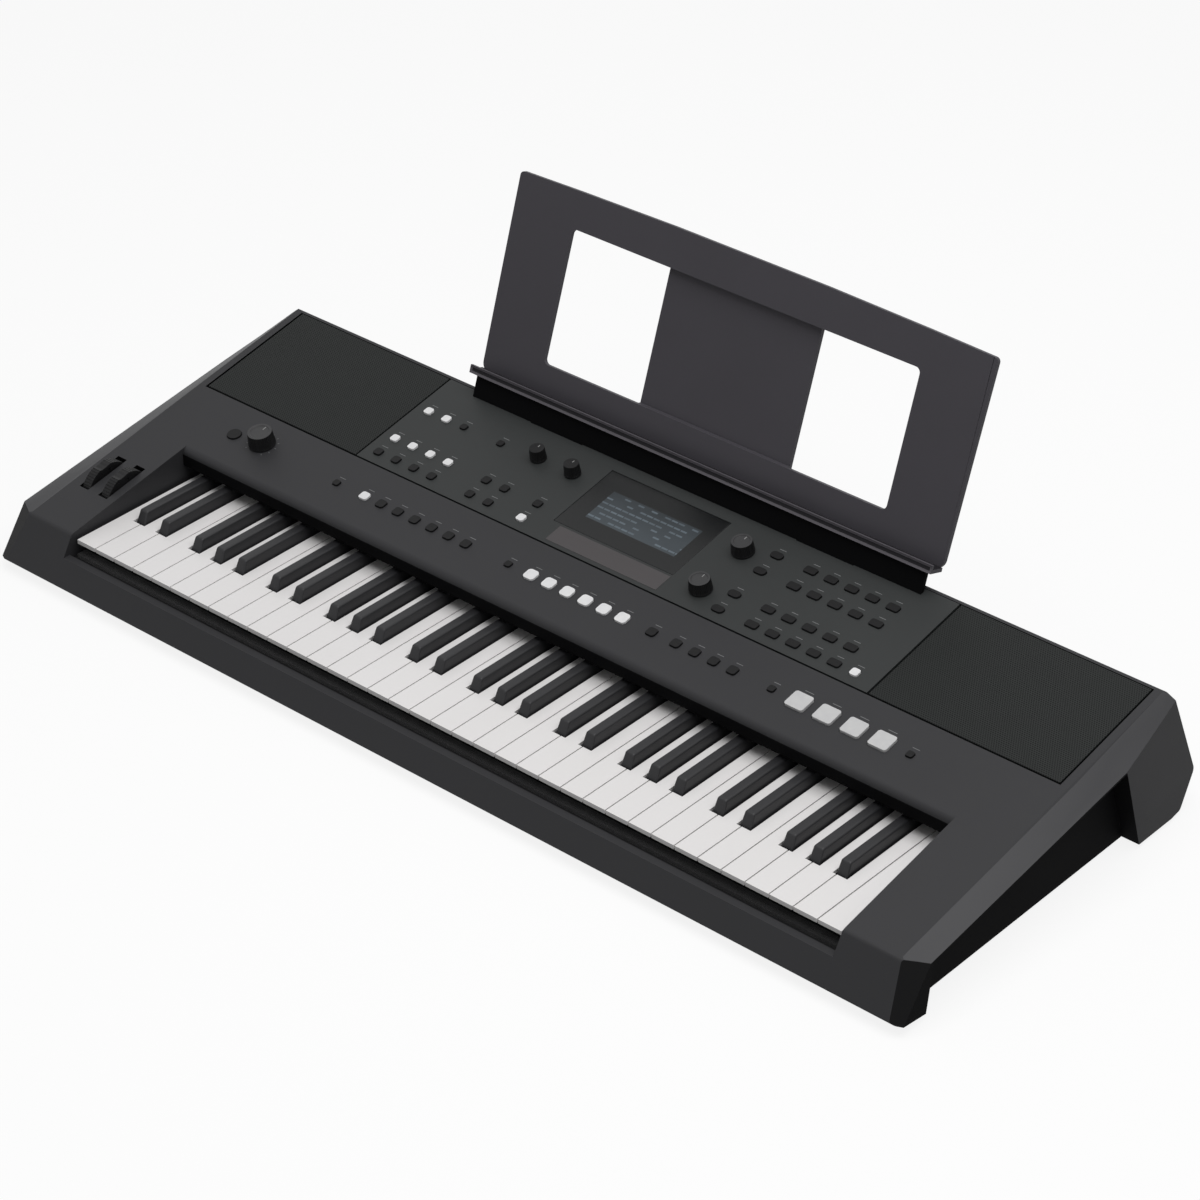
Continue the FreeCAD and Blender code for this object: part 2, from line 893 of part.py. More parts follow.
cheek = swept(cheek_section, opening_half, opening_half + cheek_wall)
key_opening = block(-opening_half, opening_half, -overrun, nose_back, rail_height, case_depth)
upper = shell.cut(lower_half).cut(key_opening)
boss_x = half_width - boss_side_inset
boss_depths = (boss_front, boss_middle, boss_back)
boss_spots = [(side * boss_x, depth) for side in (-1, 1) for depth in boss_depths]
boss_spots += [(x, boss_rear_depth) for x in (-boss_rear_x, 0, boss_rear_x)]
bosses = []
for x, depth in boss_spots:
    bosses.append(rod_z(boss_radius, x, depth, floor_top, panel_height(depth) - wall_rise / 2))
board_half_width = panel_half_width - board_side_inset
well_back = centre_depth(well_back_share)
post_front = pocket_front - post_front_inset
post_back = well_back + post_radius + post_edge_gap
post_depths = (post_front, post_back)
post_columns = (centre_x(post_inner_share), board_half_width - post_side_inset)
board_posts = [(side * x, depth) for side in (-1, 1) for x in post_columns for depth in post_depths]
board_posts += [(strip_x(share), post_front) for share in (post_left_share, post_right_share)]
posts = [panel_rod(post_radius, x, depth, -board_drop, -top_wall / 2) for x, depth in board_posts]
rail = swept(rail_section, -opening_half, opening_half)
fall = swept(fall_section, -opening_half, opening_half, fall_radii)
upper = joined([upper, cheek, mirrored(cheek), rail, fall] + bosses + posts)

pocket = panel_block(-pocket_half, pocket_half, pocket_front, pocket_back, -sheet_thickness, overrun)
ledge_half = panel_half_width - ledge_side
well_front = pocket_front + ledge_front
well = panel_block(-ledge_half, ledge_half, well_front, well_back, -top_wall - wall_rise / 2, overrun)
speaker_x = panel_half_width + groove_width + grille_width / 2
speaker_depth = (pocket_front + pocket_back) / 2
speaker_hole_radius = (pocket_back - pocket_front) / 2 - speaker_hole_inset
speaker_holes = []
for x in (-speaker_x, speaker_x):
    speaker_holes.append(panel_rod(speaker_hole_radius, x, speaker_depth, -overrun, overrun))
tongues = []
rest_slots = []
tongue_front = -foot_back_offset - foot_plate
tongue_back = -foot_back_offset
for side in (-1, 1):
    low_x = side * tongue_x - tongue_width / 2
    high_x = side * tongue_x + tongue_width / 2
    tongues.append(block(low_x, high_x, tongue_front, tongue_back, -tongue_length, -tray_plate / 2))
    slot_sides = (low_x - tongue_gap, high_x + tongue_gap)
    slot_faces = (tongue_front - tongue_gap, tongue_back + tongue_gap)
    rest_slots.append(placed(block(*slot_sides, *slot_faces, -slot_length, -tray_plate), rest_place))

wheel_offset = wheel_radius - wheel_proud
wheel_middle = panel_place.multVec(vec(0, along(wheel_depth), -wheel_offset))
bracket_right = -opening_half - cheek_wall - bracket_wall_gap
right_wheel_x = bracket_right - bracket_plate - wheel_side_gap - wheel_width / 2
wheel_places = (right_wheel_x - wheel_pitch, right_wheel_x)
slot_half = math.sqrt(wheel_radius ** 2 - (wheel_offset - top_wall) ** 2) + wheel_slot_gap
slot_reach = wheel_width / 2 + wheel_slot_gap
wheel_slots = []
for x in wheel_places:
    middle = along(wheel_depth)
    slot = block(x - slot_reach, x + slot_reach, middle - slot_half, middle + slot_half, -overrun, overrun)
    wheel_slots.append(on_panel(slot))

bay_block = block(bay_left, bay_right, bay_face - bay_wall, case_depth + overrun, bay_low, bay_high)
pilot_top = floor_top + screw_length
pilot_radius = screw_radius + running_gap
pilots = [rod_z(pilot_radius, x, depth, floor_top - overrun, pilot_top) for x, depth in boss_spots]
upper_cuts = [pocket, well, bay_block] + speaker_holes + rest_slots + wheel_slots + pilots
upper_cuts += button_holes(strip_controls) + stem_holes(strip_knobs)
nodes["upper_case"] = upper.cut(upper_cuts)

# Lower case: tray with posts for the main board and recessed screw holes
main_post_low = base_height + floor_wall / 2
main_posts = []
for x in (main_left + main_post_inset, main_right - main_post_inset):
    for depth in (main_front + main_post_inset, main_back - main_post_inset):
        main_posts.append(rod_z(main_post_radius, x, depth, main_post_low, main_height))
lower = joined([shell.common(lower_half)] + main_posts)
head_seat = base_height + screw_head + screw_room
screws = []
screw_holes = []
for x, depth in boss_spots:
    screw_holes.append(rod_z(screw_head_radius + screw_room, x, depth, -overrun, head_seat))
    screw_holes.append(rod_z(screw_radius + screw_room, x, depth, -overrun, floor_top + overrun))
    head = rod_z(screw_head_radius, x, depth, head_seat - screw_head, head_seat)
    shank = rod_z(screw_radius, x, depth, head_seat - screw_head / 2, pilot_top - screw_room)
    screws.append(joined([head, shank]))
nodes["lower_case"] = lower.cut(screw_holes)
nodes["case_screws"] = Part.makeCompound(screws)
foot_x = half_width - foot_side_inset
foot_spots = [(x, depth) for x in (-foot_x, 0, foot_x) for depth in (foot_front, foot_back)]
feet = [rod_z(foot_radius, x, depth, 0, foot_height) for x, depth in foot_spots]
nodes["rubber_feet"] = Part.makeCompound(feet)

# Sheets in the pocket
sheet_front = pocket_front + groove_width
sheet_back = pocket_back - sheet_gap
window_left = centre_x(window_left_share)
window_right = centre_x(window_right_share)
window_front = centre_depth(window_front_share)
window_back = centre_depth(window_back_share)
window_cut = panel_block(window_left - seat_gap, window_right + seat_gap, window_front - seat_gap,
                         window_back + seat_gap, -overrun, overrun)
panel_sheet = panel_block(-panel_half_width, panel_half_width, sheet_front, sheet_back, -sheet_thickness, 0)
panel_cuts = [window_cut] + rest_slots + button_holes(centre_controls) + stem_holes(centre_knobs)
nodes["centre_panel"] = panel_sheet.cut(panel_cuts)
grille_inner = panel_half_width + groove_width
grille_outer = pocket_half - groove_width
grille_ends = ((grille_inner, grille_outer), (-grille_outer, -grille_inner))
for name, (low_x, high_x) in zip(("right_grille", "left_grille"), grille_ends):
    nodes[name] = panel_block(low_x, high_x, sheet_front, sheet_back, -sheet_thickness, 0)
window_sides = (window_left, window_right, window_front, window_back)
nodes["display_window"] = panel_block(*window_sides, -sheet_thickness, 0)
module_back = well_back - sheet_gap
module_sides = (window_left + module_inset, window_right - module_inset)
module_ends = (window_front + module_inset, module_back)
nodes["display_module"] = panel_block(*module_sides, *module_ends, -board_drop, -sheet_thickness)

# Panel board with a switch under every button, and the bodies of the rotary controls
board_low = -board_drop - board_thickness
board_levels = (board_low, -board_drop)
board_ends = (power_x - board_end_margin, stop_x + board_end_margin)
strip_board = panel_block(*board_ends, strip_row - board_front_margin, pocket_front, *board_levels)
board_back = post_back + post_rear_inset
centre_board = panel_block(-board_half_width, board_half_width, pocket_front, board_back, *board_levels)
switch_top = -runner_base - button_travel - seat_gap
switches = []
for controls in (strip_controls, centre_controls):
    for spots in controls.values():
        for x, depth, _, _, _ in spots:
            middle = along(depth)
            half = switch_size / 2
            base = -board_drop - board_thickness / 2
            switch = block(x - half, x + half, middle - half, middle + half, base, switch_top)
            switches.append(on_panel(switch))
nodes["panel_board"] = joined([strip_board, centre_board] + switches)
control_bodies = []
for knobs, sheet in ((strip_knobs, strip_sheet), (centre_knobs, centre_sheet)):
    for x, depth, _, _ in knobs.values():
        half = control_body / 2
        middle = along(depth)
        body = on_panel(block(x - half, x + half, middle - half, middle + half, -board_drop, -sheet))
        control_bodies.append(body.cut(panel_rod(stem_radius + running_gap, x, depth, -overrun, overrun)))
nodes["rotary_controls"] = Part.makeCompound(control_bodies)

# Buttons, pads and knobs
for controls, sheet in ((strip_controls, strip_sheet), (centre_controls, centre_sheet)):
    for name, spots in controls.items():
        proud = pad_proud if name.startswith("pad") else button_proud
        nodes[name] = Part.makeCompound([button(spot, sheet, proud) for spot in spots])
for name, spot in list(strip_knobs.items()) + list(centre_knobs.items()):
    nodes[name] = knob(*spot)

# Loudspeakers under the grilles, each turned about its own axis
speaker_top = -top_wall
speaker_cone_radius = speaker_hole_radius - speaker_rim
speaker_cap_radius = speaker_cone_radius * speaker_cap_share
speaker_flange_radius = speaker_hole_radius + speaker_flange_lap
speaker_magnet_radius = speaker_flange_radius * speaker_magnet_share
speaker_hub_radius = speaker_hole_radius * speaker_hub_share
speaker_profile = [
    (0, speaker_top - speaker_cone_depth),
    (speaker_cap_radius, speaker_top - speaker_cone_depth),
    (speaker_cone_radius, speaker_top),
    (speaker_flange_radius, speaker_top),
    (speaker_flange_radius, speaker_top - speaker_flange),
    (speaker_hole_radius, speaker_top - speaker_flange),
    (speaker_hub_radius, speaker_top - speaker_basket_depth),
    (speaker_magnet_radius, speaker_top - speaker_basket_depth),
    (speaker_magnet_radius, speaker_top - speaker_basket_depth - speaker_magnet_height),
    (0, speaker_top - speaker_basket_depth - speaker_magnet_height),
]
speaker_points = [vec(radius, 0, level) for radius, level in speaker_profile]
speaker = Part.Face(Part.makePolygon(speaker_points + speaker_points[:1])).revolve(origin, z_axis, 360)
for name, side in (("left_speaker", -1), ("right_speaker", 1)):
    moved = speaker.copy()
    moved.translate(vec(side * speaker_x, along(speaker_depth), 0))
    nodes[name] = on_panel(moved)

# Wheels on one axle, held by a bracket on the floor
wheel_y = wheel_middle.y
wheel_z = wheel_middle.z
bore = rod_x(axle_radius + running_gap, -case_width, case_width, wheel_y, wheel_z)
for name, x in zip(("pitch_wheel", "modulation_wheel"), wheel_places):
    wheel = rod_x(wheel_radius, x - wheel_width / 2, x + wheel_width / 2, wheel_y, wheel_z)
    nodes[name] = wheel.cut(bore)
arm_step = wheel_width / 2 + wheel_side_gap
arm_lefts = [wheel_places[0] - arm_step - bracket_plate, right_wheel_x + arm_step]
arm_lefts.append(sum(wheel_places) / 2 - bracket_plate / 2)
arm_sides = (wheel_y - bracket_arm / 2, wheel_y + bracket_arm / 2, floor_top, wheel_z + bracket_crown)
arms = [block(left, left + bracket_plate, *arm_sides) for left in arm_lefts]
base_sides = (wheel_y - bracket_foot / 2, wheel_y + bracket_foot / 2, floor_top, floor_top + bracket_base)
bracket = joined([block(arm_lefts[0], bracket_right, *base_sides)] + arms)
nodes["wheel_bracket"] = bracket.cut(bore)
nodes["wheel_axle"] = rod_x(axle_radius, arm_lefts[0], bracket_right, wheel_y, wheel_z)

# Main board on its posts, with chips in a row
board_top = main_height + board_thickness
main_board = block(main_left, main_right, main_front, main_back, main_height, board_top)
chip_pitch = (main_right - main_left) / (chip_count + 1)
chip_front = (main_front + main_back - chip_size) / 2
chips = []
for index in range(chip_count):
    left = main_left + chip_pitch * (index + 1) - chip_size / 2
    chip_back = chip_front + chip_size
    chips.append(block(left, left + chip_size, chip_front, chip_back, main_height, board_top + chip_height))
nodes["main_board"] = joined([main_board] + chips)

# Jack bay flush with the rear wall, and the sockets in it
bay_room = block(bay_left + bay_wall, bay_right - bay_wall, bay_face, case_depth + overrun,
                 bay_low + bay_wall, bay_high - bay_wall)
bay = bay_block.common(outside).cut(bay_room)
socket_holes = []
for name, x in (("pedal_jack", pedal_x), ("phones_jack", phones_x)):
    mouth = bay_face + jack_stand_out
    barrel_front = bay_face - bay_wall
    barrel = rod_y(jack_barrel_radius, x, barrel_front - jack_body_length / 2, mouth, jack_height)
    nut = rod_y(jack_nut_radius, x, bay_face, bay_face + jack_nut, jack_height)
    half = jack_body / 2
    body = block(x - half, x + half, barrel_front - jack_body_length, barrel_front,
                 jack_height - half, jack_height + half)
    plug_way = rod_y(jack_bore_radius, x, mouth - jack_bore_depth, mouth + overrun, jack_height)
    nodes[name] = joined([body, barrel, nut]).cut(plug_way)
    socket_holes.append(rod_y(jack_barrel_radius + running_gap, x, 0, case_depth, jack_height))
usb_half = usb_width / 2
usb_up = usb_height / 2
usb_mouth = bay_face + usb_stand_out
usb_sides = (usb_x - usb_half, usb_x + usb_half, usb_mouth - usb_length, usb_mouth)
usb_port = block(usb_x - usb_half + usb_wall, usb_x + usb_half - usb_wall, usb_mouth - usb_port_depth,
                 usb_mouth + overrun, jack_height - usb_up + usb_wall, jack_height + usb_up - usb_wall)
usb_shell = block(*usb_sides, jack_height - usb_up, jack_height + usb_up)
nodes["usb_socket"] = usb_shell.cut(usb_port)
inlet_half = inlet_size / 2
inlet_mouth = bay_face + inlet_stand_out
inlet_sides = (inlet_x - inlet_half, inlet_x + inlet_half, inlet_mouth - inlet_length, inlet_mouth)
inlet_shell = block(*inlet_sides, jack_height - inlet_half, jack_height + inlet_half)
inlet_floor = inlet_mouth - inlet_bore_depth
inlet_way = rod_y(inlet_bore_radius, inlet_x, inlet_floor, inlet_mouth + overrun, jack_height)
pin_root = inlet_mouth - (inlet_length + inlet_bore_depth) / 2
inlet_pin = rod_y(inlet_pin_radius, inlet_x, pin_root, inlet_mouth - inlet_stand_out, jack_height)
nodes["power_inlet"] = joined([inlet_shell.cut(inlet_way), inlet_pin])
nodes["jack_bay"] = bay.cut(socket_holes + [usb_shell, inlet_shell])

# Music rest in its own frame: the plate stands on the tray's rear edge
plate_points = [(-rest_low_half, -tray_plate), (rest_low_half, -tray_plate)]
plate_points += [(rest_top_half, rest_length), (-rest_top_half, rest_length)]
plate_radii = [rest_low_radius, rest_low_radius, rest_top_radius, rest_top_radius]
plate_face = outlined(plate_points, plate_radii, lambda across, up: vec(across, 0, up))
plate = plate_face.extrude(vec(0, rest_plate, 0))
arch_half = rest_top_half - rest_top_radius
arch_ends = [vec(side * arch_half, 0, rest_length) for side in (-1, 1)]
arch_edge = Part.Arc(arch_ends[0], vec(0, 0, rest_length + rest_arch), arch_ends[1]).toShape()
arch_face = Part.Face(Part.Wire([arch_edge, Part.makeLine(arch_ends[1], arch_ends[0])]))
arch = arch_face.extrude(vec(0, rest_plate, 0))
tray_half = rest_low_half
tray = block(-tray_half, tray_half, -tray_depth, 0, -tray_plate, 0)
lip = block(-tray_half, tray_half, -tray_depth, tray_lip - tray_depth, -tray_plate, tray_lip_height)
centre_sides = (-rest_bridge_half, rest_bridge_half)
centre_low = rest_window_low - rest_plate
centre_high = rest_window_high + rest_plate
centre_back = rest_recess + rest_plate
rest_centre = [
    block(*centre_sides, rest_recess, centre_back, centre_low, centre_high),
    block(*centre_sides, 0, centre_back, centre_low, rest_window_low),
    block(*centre_sides, 0, centre_back, rest_window_high, centre_high),
]
foot_half = rest_low_half - rest_foot_inset
foot = block(-foot_half, foot_half, tongue_front, tongue_back, -foot_reach, -tray_plate / 2)
below_panel = panel_block(-half_width, half_width, 0, case_depth, -case_depth, seat_gap)
foot = placed(foot, rest_place).cut(below_panel)
rest_window_outer = rest_low_half - rest_window_side
rest_holes = [block(*centre_sides, -overrun, overrun, rest_window_low, rest_window_high)]
for side in (-1, 1):
    ring = [(side * rest_bridge_half, rest_window_low), (side * rest_window_outer, rest_window_low)]
    ring += [(side * rest_window_outer, rest_window_high), (side * rest_bridge_half, rest_window_high)]
    radii = [0, rest_window_radius, rest_window_radius, 0]
    hole = outlined(ring, radii, lambda across, up: vec(across, -overrun, up))
    rest_holes.append(hole.extrude(vec(0, overrun * 2, 0)))
frame_rest = joined([plate, arch, tray, lip] + tongues).cut(rest_holes)
upper_rest = joined([frame_rest] + rest_centre)
nodes["music_rest"] = joined([placed(upper_rest, rest_place), foot])

# The frame's origin lies on the table under the middle of the whole keyboard
extents = [shape.optimalBoundingBox(False, False) for shape in nodes.values()]
front_most = min(extent.YMin for extent in extents)
rear_most = max(extent.YMax for extent in extents)
os.makedirs("parts", exist_ok=True)
for name, shape in nodes.items():
    shape.translate(vec(0, -(front_most + rear_most) / 2, 0))
    shape.exportStep("parts/%s.step" % name)
    print(name, len(shape.Solids), shape.isValid(), round(shape.Volume / 1000, 1))
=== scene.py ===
import json
import math

import bpy
from mathutils import Matrix, Vector


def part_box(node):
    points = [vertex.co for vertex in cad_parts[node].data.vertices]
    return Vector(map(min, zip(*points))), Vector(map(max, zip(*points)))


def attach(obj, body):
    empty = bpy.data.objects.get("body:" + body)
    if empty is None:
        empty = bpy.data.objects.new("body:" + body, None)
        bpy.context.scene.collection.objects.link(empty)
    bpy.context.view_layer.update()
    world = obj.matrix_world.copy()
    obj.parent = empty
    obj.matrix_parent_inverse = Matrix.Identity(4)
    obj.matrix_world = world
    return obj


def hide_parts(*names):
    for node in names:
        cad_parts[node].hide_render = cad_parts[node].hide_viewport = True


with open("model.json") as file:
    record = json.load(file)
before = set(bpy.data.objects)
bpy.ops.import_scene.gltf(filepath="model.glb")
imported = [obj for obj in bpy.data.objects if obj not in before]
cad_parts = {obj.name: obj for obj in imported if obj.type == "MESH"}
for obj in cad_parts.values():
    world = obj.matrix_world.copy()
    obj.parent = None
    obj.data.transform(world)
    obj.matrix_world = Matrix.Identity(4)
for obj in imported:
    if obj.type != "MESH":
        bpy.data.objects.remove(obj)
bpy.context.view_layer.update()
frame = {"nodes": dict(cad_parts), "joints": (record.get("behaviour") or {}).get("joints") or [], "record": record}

mm = 0.001
joints = {joint["name"]: joint for joint in frame["joints"]}
slotOf = {part["node"]: part["material_slot"] for part in frame["record"]["subparts"]}
bodyOf = {node: body for body, nodes in frame["record"]["behaviour"]["bodies"].items() for node in nodes}

# The case's front edge and half width, and the sloping panel as the volume knob's axis gives it
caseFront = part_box("upper_case")[0].y
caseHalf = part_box("upper_case")[1].x
panelUp = Vector(joints["volume_knob_turn"]["axis"]).normalized()
panelSpot = Vector(joints["volume_knob_turn"]["pos_m"])
panelTilt = math.atan2(-panelUp.y, panelUp.z)


def panelHeight(y):
    return panelSpot.z + (y - panelSpot.y) * math.tan(panelTilt)


def panelPlace(x, y):                # local Z stands square on the panel at that place
    return Matrix.Translation((x, y, panelHeight(y))) @ Matrix.Rotation(panelTilt, 4, "X")


# Selecting and shaping, with angles in degrees
shapeLook = {"crease": 38, "flat": 0.6, "mergeReach": 0.01 * mm, "areaWeight": 50}
squareOn = 0.9                       # a face looks along an axis if its normal has more than this of it
aslant = 0.5                         # and looks aside if it has less than this


def deselectAll():
    if bpy.context.object and bpy.context.object.mode != "OBJECT":
        bpy.ops.object.mode_set(mode="OBJECT")
    bpy.ops.object.select_all(action="DESELECT")


def takeUp(piece):
    deselectAll()
    piece.select_set(True)
    bpy.context.view_layer.objects.active = piece
    return piece


def enterEdit(piece, kind, action):  # edit mode, with all or nothing picked
    takeUp(piece)
    bpy.ops.object.mode_set(mode="EDIT")
    bpy.ops.mesh.select_mode(type=kind)
    bpy.ops.mesh.select_all(action=action)


def leaveEdit():
    bpy.ops.object.mode_set(mode="OBJECT")


def pickFaces(piece, wanted):        # edit mode, with the faces that wanted(centre, normal) names
    enterEdit(piece, "FACE", "DESELECT")
    leaveEdit()
    for face in piece.data.polygons:
        face.select = bool(wanted(face.center, face.normal))
    bpy.ops.object.mode_set(mode="EDIT")


def pickEdges(piece, wanted):        # edit mode, with the edges that end at a spot that wanted(spot) names
    enterEdit(piece, "EDGE", "DESELECT")
    leaveEdit()
    for edge in piece.data.edges:
        edge.select = any(wanted(piece.data.vertices[index].co) for index in edge.vertices)
    bpy.ops.object.mode_set(mode="EDIT")


def pushFaces(offset):               # extrude the picked faces by a vector
    bpy.ops.mesh.extrude_region_move(TRANSFORM_OT_translate={"value": offset})


def finishModifier(piece, kind, **settings):
    takeUp(piece)
    bpy.ops.object.modifier_add(type=kind)
    modifier = piece.modifiers[-1]
    for key, value in settings.items():
        setattr(modifier, key, value)
    bpy.ops.object.modifier_apply(modifier=modifier.name)


def smoothFaces(piece, angle=shapeLook["crease"]):
    takeUp(piece)
    bpy.ops.object.shade_smooth_by_angle(angle=math.radians(angle))
    finishModifier(piece, "WEIGHTED_NORMAL", mode="FACE_AREA", weight=shapeLook["areaWeight"],
                   keep_sharp=True)


def softenEdges(piece, width, segments=2, angle=shapeLook["crease"]):
    finishModifier(piece, "BEVEL", width=width, segments=segments, limit_method="ANGLE",
                   angle_limit=math.radians(angle), use_clamp_overlap=True, harden_normals=False)
    smoothFaces(piece, angle)


def outwardFaces(piece):
    enterEdit(piece, "VERT", "SELECT")
    bpy.ops.mesh.remove_doubles(threshold=shapeLook["mergeReach"])
    bpy.ops.mesh.normals_make_consistent(inside=False)
    leaveEdit()


def settle(piece):                   # the place goes into the mesh and the object stays at the origin
    takeUp(piece)
    bpy.ops.object.transform_apply(location=True, rotation=True, scale=True)
    return piece


def setDown(piece, place):
    piece.matrix_world = place @ piece.matrix_world
    return settle(piece)


def copyOf(piece, name):
    twin = bpy.data.objects.new(name, piece.data.copy())
    bpy.context.scene.collection.objects.link(twin)
    return twin


def joinAll(pieces, name):
    takeUp(pieces[0])
    for piece in pieces:
        piece.select_set(True)
    bpy.ops.object.join()
    pieces[0].name = name
    return pieces[0]


def dropPiece(piece):
    bpy.data.objects.remove(piece, do_unlink=True)


def camelName(node):
    first, *others = node.split("_")
    return first + "".join(word.capitalize() for word in others)


def coat(piece, *finishes):
    piece.data.materials.clear()
    for finish in finishes:
        piece.data.materials.append(finish)


def paintFaces(piece, index, wanted):
    for face in piece.data.polygons:
        if wanted(face.center, face.normal):
            face.material_index = index


def addZone(piece, finish, wanted):  # one more finish, on the faces that wanted(centre, normal) names
    piece.data.materials.append(finish)
    paintFaces(piece, len(piece.data.materials) - 1, wanted)


def mount(piece, body, slot, *nodes):
    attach(piece, body)
    if nodes:
        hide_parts(*nodes)


def mergedCopy(node, cuts=()):       # the CAD mesh as one clean surface, parted at cuts across X
    piece = takeUp(copyOf(frame["nodes"][node], camelName(node)))
    bpy.ops.mesh.customdata_custom_splitnormals_clear()
    enterEdit(piece, "VERT", "SELECT")
    bpy.ops.mesh.remove_doubles(threshold=shapeLook["mergeReach"])
    for cut in cuts:
        bpy.ops.mesh.select_all(action="SELECT")
        bpy.ops.mesh.bisect(plane_co=(cut, 0, 0), plane_no=(1, 0, 0))
        bpy.ops.mesh.mark_seam()
    bpy.ops.mesh.select_all(action="SELECT")
    bpy.ops.mesh.dissolve_limited(angle_limit=math.radians(shapeLook["flat"]), delimit={"SEAM"})
    leaveEdit()
    return piece


def dressNode(node, finish, bevel, segments=2, angle=shapeLook["crease"], cuts=()):
    piece = mergedCopy(node, cuts)
    softenEdges(piece, bevel, segments, angle)
    coat(piece, finish)
    mount(piece, bodyOf[node], slotOf[node], node)
    return piece


def islandBoxes(node):               # the lowest and highest corner of each loose piece in a node
    enterEdit(mergedCopy(node), "VERT", "SELECT")
    bpy.ops.mesh.separate(type="LOOSE")
    leaveEdit()
    boxes = []
    for loose in list(bpy.context.selected_objects):
        corners = [vertex.co for vertex in loose.data.vertices]
        low = Vector([min(corner[axis] for corner in corners) for axis in range(3)])
        high = Vector([max(corner[axis] for corner in corners) for axis in range(3)])
        boxes.append((low, high))
        dropPiece(loose)
    return boxes


# Shader maths as plain expressions
class Wire:
    def __init__(self, tree, socket=None):
        self.tree = tree
        self.socket = socket

    def node(self, kind, settings=None, inputs=None, output=0):
        made = self.tree.nodes.new(kind)
        for key, value in (settings or {}).items():
            setattr(made, key, value)
        for key, value in (inputs or {}).items():
            if isinstance(value, Wire):
                self.tree.links.new(value.socket, made.inputs[key])
            else:
                made.inputs[key].default_value = value
        return Wire(self.tree, made.outputs[output])

    def maths(self, operation, first, second=0.0):
        return self.node("ShaderNodeMath", {"operation": operation}, {0: first, 1: second})

    def __add__(self, other):
        return self.maths("ADD", self, other)

    def __radd__(self, other):
        return self.maths("ADD", other, self)

    def __sub__(self, other):
        return self.maths("SUBTRACT", self, other)

    def __rsub__(self, other):
        return self.maths("SUBTRACT", other, self)

    def __mul__(self, other):
        return self.maths("MULTIPLY", self, other)

    def __rmul__(self, other):
        return self.maths("MULTIPLY", other, self)

    def __truediv__(self, other):
        return self.maths("DIVIDE", self, other)

    def __rtruediv__(self, other):
        return self.maths("DIVIDE", other, self)

    def __gt__(self, other):
        return self.maths("GREATER_THAN", self, other)

    def __lt__(self, other):
        return self.maths("LESS_THAN", self, other)

    def most(self, other):
        return self.maths("MAXIMUM", self, other)

    def floor(self):
        return self.maths("FLOOR", self)

    def part(self):
        return self.maths("FRACT", self)

    def swing(self, amount):             # a noise's swing about its middle
        return (self - 0.5) * amount

    def axis(self, index):
        return self.node("ShaderNodeSeparateXYZ", None, {0: self}, index)

    def noise(self, scale, detail=2.0, roughness=0.5):
        return self.node("ShaderNodeTexNoise", None,
                         {"Vector": self, "Scale": scale, "Detail": detail, "Roughness": roughness})

    def between(self, first, second):    # a colour between two, by this value
        return self.node("ShaderNodeMix", {"data_type": "RGBA"}, {0: self, 6: first, 7: second}, 2)

    def shades(self, code, dark, light):
        return self.between(tint(code, dark), tint(code, light))

    def bump(self, strength, depth):
        return self.node("ShaderNodeBump", None, {"Strength": strength, "Distance": depth, "Height": self})


def tint(code, share=1.0):           # a screen colour such as 3f3f40, as light
    values = [int(code[index:index + 2], 16) / 255 for index in (0, 2, 4)]
    light = [value / 12.92 if value < 0.04045 else ((value + 0.055) / 1.055) ** 2.4 for value in values]
    return [value * share for value in light] + [1.0]


def startFinish(name, fixed):
    finish = bpy.data.materials.new(name)
    finish.use_nodes = True
    shader = finish.node_tree.nodes["Principled BSDF"]
    for socket, value in fixed.items():
        shader.inputs[socket].default_value = value
    place = Wire(finish.node_tree).node("ShaderNodeTexCoord", output="Object")
    return finish, shader, place


def feed(shader, socket, wire):
    wire.tree.links.new(wire.socket, shader.inputs[socket])


# Moulded plastic: a slow cloud of tone, a fine spark-eroded grain and a little unevenness of gloss
cloudDetail = 3.0
plasticShared = {"index": 1.46, "cloudScale": 14.0, "grainDetail": 2.0, "grainRoughness": 0.6, "dark": 0.6,
                 "light": 1.4, "grainGloss": 0.14, "cloudGloss": 0.06, "depth": 0.2 * mm}


def mouldedPlastic(name, look, shared):
    finish, shader, place = startFinish(name, {"IOR": shared["index"],
                                               "Specular IOR Level": look["specular"]})
    cloud = place.noise(shared["cloudScale"], cloudDetail)
    grain = place.noise(look["grainScale"], shared["grainDetail"], shared["grainRoughness"])
    tone = cloud.swing(look["cloud"]) + grain.swing(look["speckle"]) + 0.5
    gloss = look["roughness"] + grain.swing(shared["grainGloss"]) + cloud.swing(shared["cloudGloss"])
    feed(shader, "Base Color", tone.shades(look["colour"], shared["dark"], shared["light"]))
    feed(shader, "Roughness", gloss)
    feed(shader, "Normal", grain.bump(look["bump"], shared["depth"]))
    return finish


